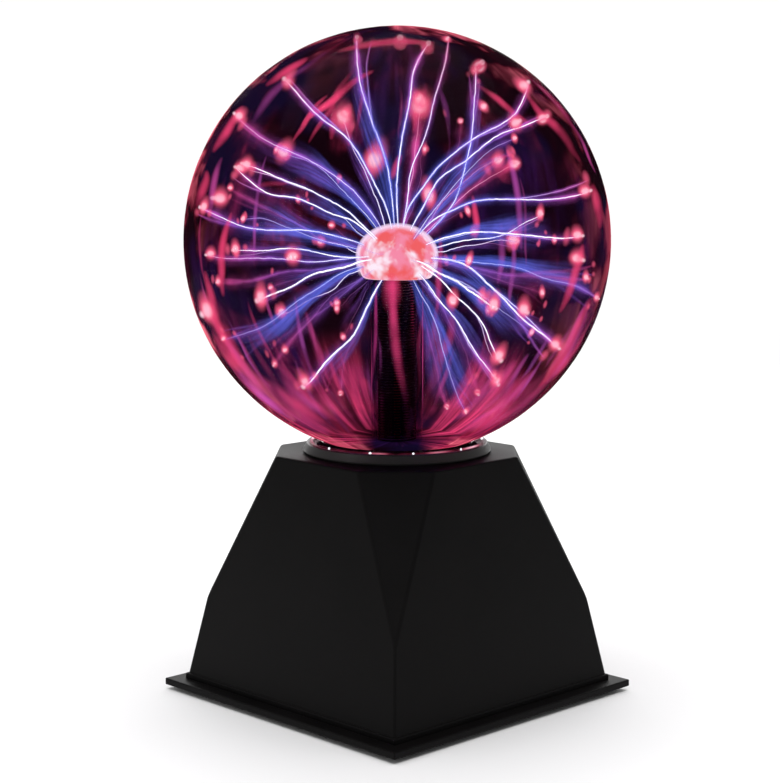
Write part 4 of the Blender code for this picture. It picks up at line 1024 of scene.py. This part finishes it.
def make_collar():
    """A sloping ring whose dished inside follows the globe."""
    low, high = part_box("neck_collar")
    top_radius = high.x - 0.0015
    inner = 0.0366
    rim = 0.0388
    skirt = 0.0390
    under = 0.1126
    lip = high.z - 0.0022
    outline = [
        (inner, lip + 0.0005), (rim - 0.0003, high.z - 0.0008),
        *arc((rim + 0.0004, high.z - 0.0008), 0.0007, 150, 90, 4),
        *arc((top_radius - 0.0010, high.z - 0.0010), 0.0010, 90, 15, 8),
        (high.x, under + 0.0008), (high.x - 0.0009, under + 0.0006), (high.x - 0.0009, under),
        (skirt, under), (skirt, low.z), (skirt - 0.0015, low.z), (skirt - 0.0015, lip), (inner, lip),
    ]
    finish = grained("collar_plastic", (0.013, 0.0115, 0.011), (0.019, 0.017, 0.016),
                     0.34, 3800.0, 0.00002, 0.5)
    add_object("collar", turned("collar", outline, 128), finish, "satin_black", "neck_collar")


# Studio

def make_floor():
    bm = bmesh.new()
    bmesh.ops.create_circle(bm, cap_ends=True, segments=96, radius=1.3)
    floor = bpy.data.objects.new("studio_floor", as_mesh("studio_floor", bm))
    bpy.context.scene.collection.objects.link(floor)
    nodes = Nodes("white_floor")
    tone = nodes.ease(nodes.noise(nodes.place(), 3.0, 2.0), 0.3, 0.7, 0.0, 1.0)
    colour = nodes.blend(tone, (0.90, 0.90, 0.90), (0.92, 0.92, 0.92))
    floor.data.materials.append(principled(nodes, colour, 0.9, Specular_IOR_Level=0.0))


def area_light(name, at, aim, size, power):
    lamp = bpy.data.lights.new(name, "AREA")
    lamp.shape = "RECTANGLE"
    lamp.size, lamp.size_y = size
    lamp.energy = power
    holder = bpy.data.objects.new(name, lamp)
    holder.location = at
    holder.rotation_euler = (Vector(aim) - Vector(at)).to_track_quat("-Z", "Y").to_euler()
    holder.visible_camera = False
    bpy.context.scene.collection.objects.link(holder)


def make_lights():
    middle = GLOBE_CENTRE * 0.5
    area_light("overhead", UP * 2.2, middle, (3.0, 3.0), 69)
    area_light("back", -FRONT * 2.4 + UP * 0.9, middle, (3.0, 1.4), 26)
    area_light("left", -RIGHT * 1.8 + FRONT * 1.0 + UP * 0.9, middle, (0.9, 0.9), 3)


def make_world():
    """White to the eye, and a soft grey to everything that it lights."""
    world = bpy.data.worlds.new("studio")
    world.use_nodes = True
    tree = world.node_tree
    tree.nodes.clear()
    seen = tree.nodes.new("ShaderNodeBackground")
    lights = tree.nodes.new("ShaderNodeBackground")
    for shade, strength in ((seen, 1.02), (lights, 0.35)):
        shade.inputs["Color"].default_value = (1, 1, 1, 1)
        shade.inputs["Strength"].default_value = strength
    mix = tree.nodes.new("ShaderNodeMixShader")
    path = tree.nodes.new("ShaderNodeLightPath")
    output = tree.nodes.new("ShaderNodeOutputWorld")
    tree.links.new(path.outputs["Is Camera Ray"], mix.inputs[0])
    tree.links.new(lights.outputs[0], mix.inputs[1])
    tree.links.new(seen.outputs[0], mix.inputs[2])
    tree.links.new(mix.outputs[0], output.inputs["Surface"])
    bpy.context.scene.world = world


def make_camera():
    """Faces the front corner from a little above the globe's middle, as fitted to the photo."""
    lens = bpy.data.cameras.new("camera")
    lens.lens = 87.85
    lens.sensor_width = 36
    camera = bpy.data.objects.new("camera", lens)
    camera.location = (0.61377, -0.60225, 0.25539)
    camera.rotation_euler = (math.radians(90 - 7.682), 0, math.radians(45.741))
    bpy.context.scene.collection.objects.link(camera)
    bpy.context.scene.camera = camera


def set_render_looks():
    scene = bpy.context.scene
    scene.view_settings.view_transform = "Standard"
    scene.view_settings.look = "None"
    scene.cycles.transparent_max_bounces = 96
    scene.cycles.max_bounces = 8


make_camera()
make_world()
make_lights()
make_floor()
set_render_looks()
dress_cad_nodes()
make_globe()
make_stem()
make_coil()
make_electrode()
make_gas()
make_neck_light()
make_discharge()
make_collar()
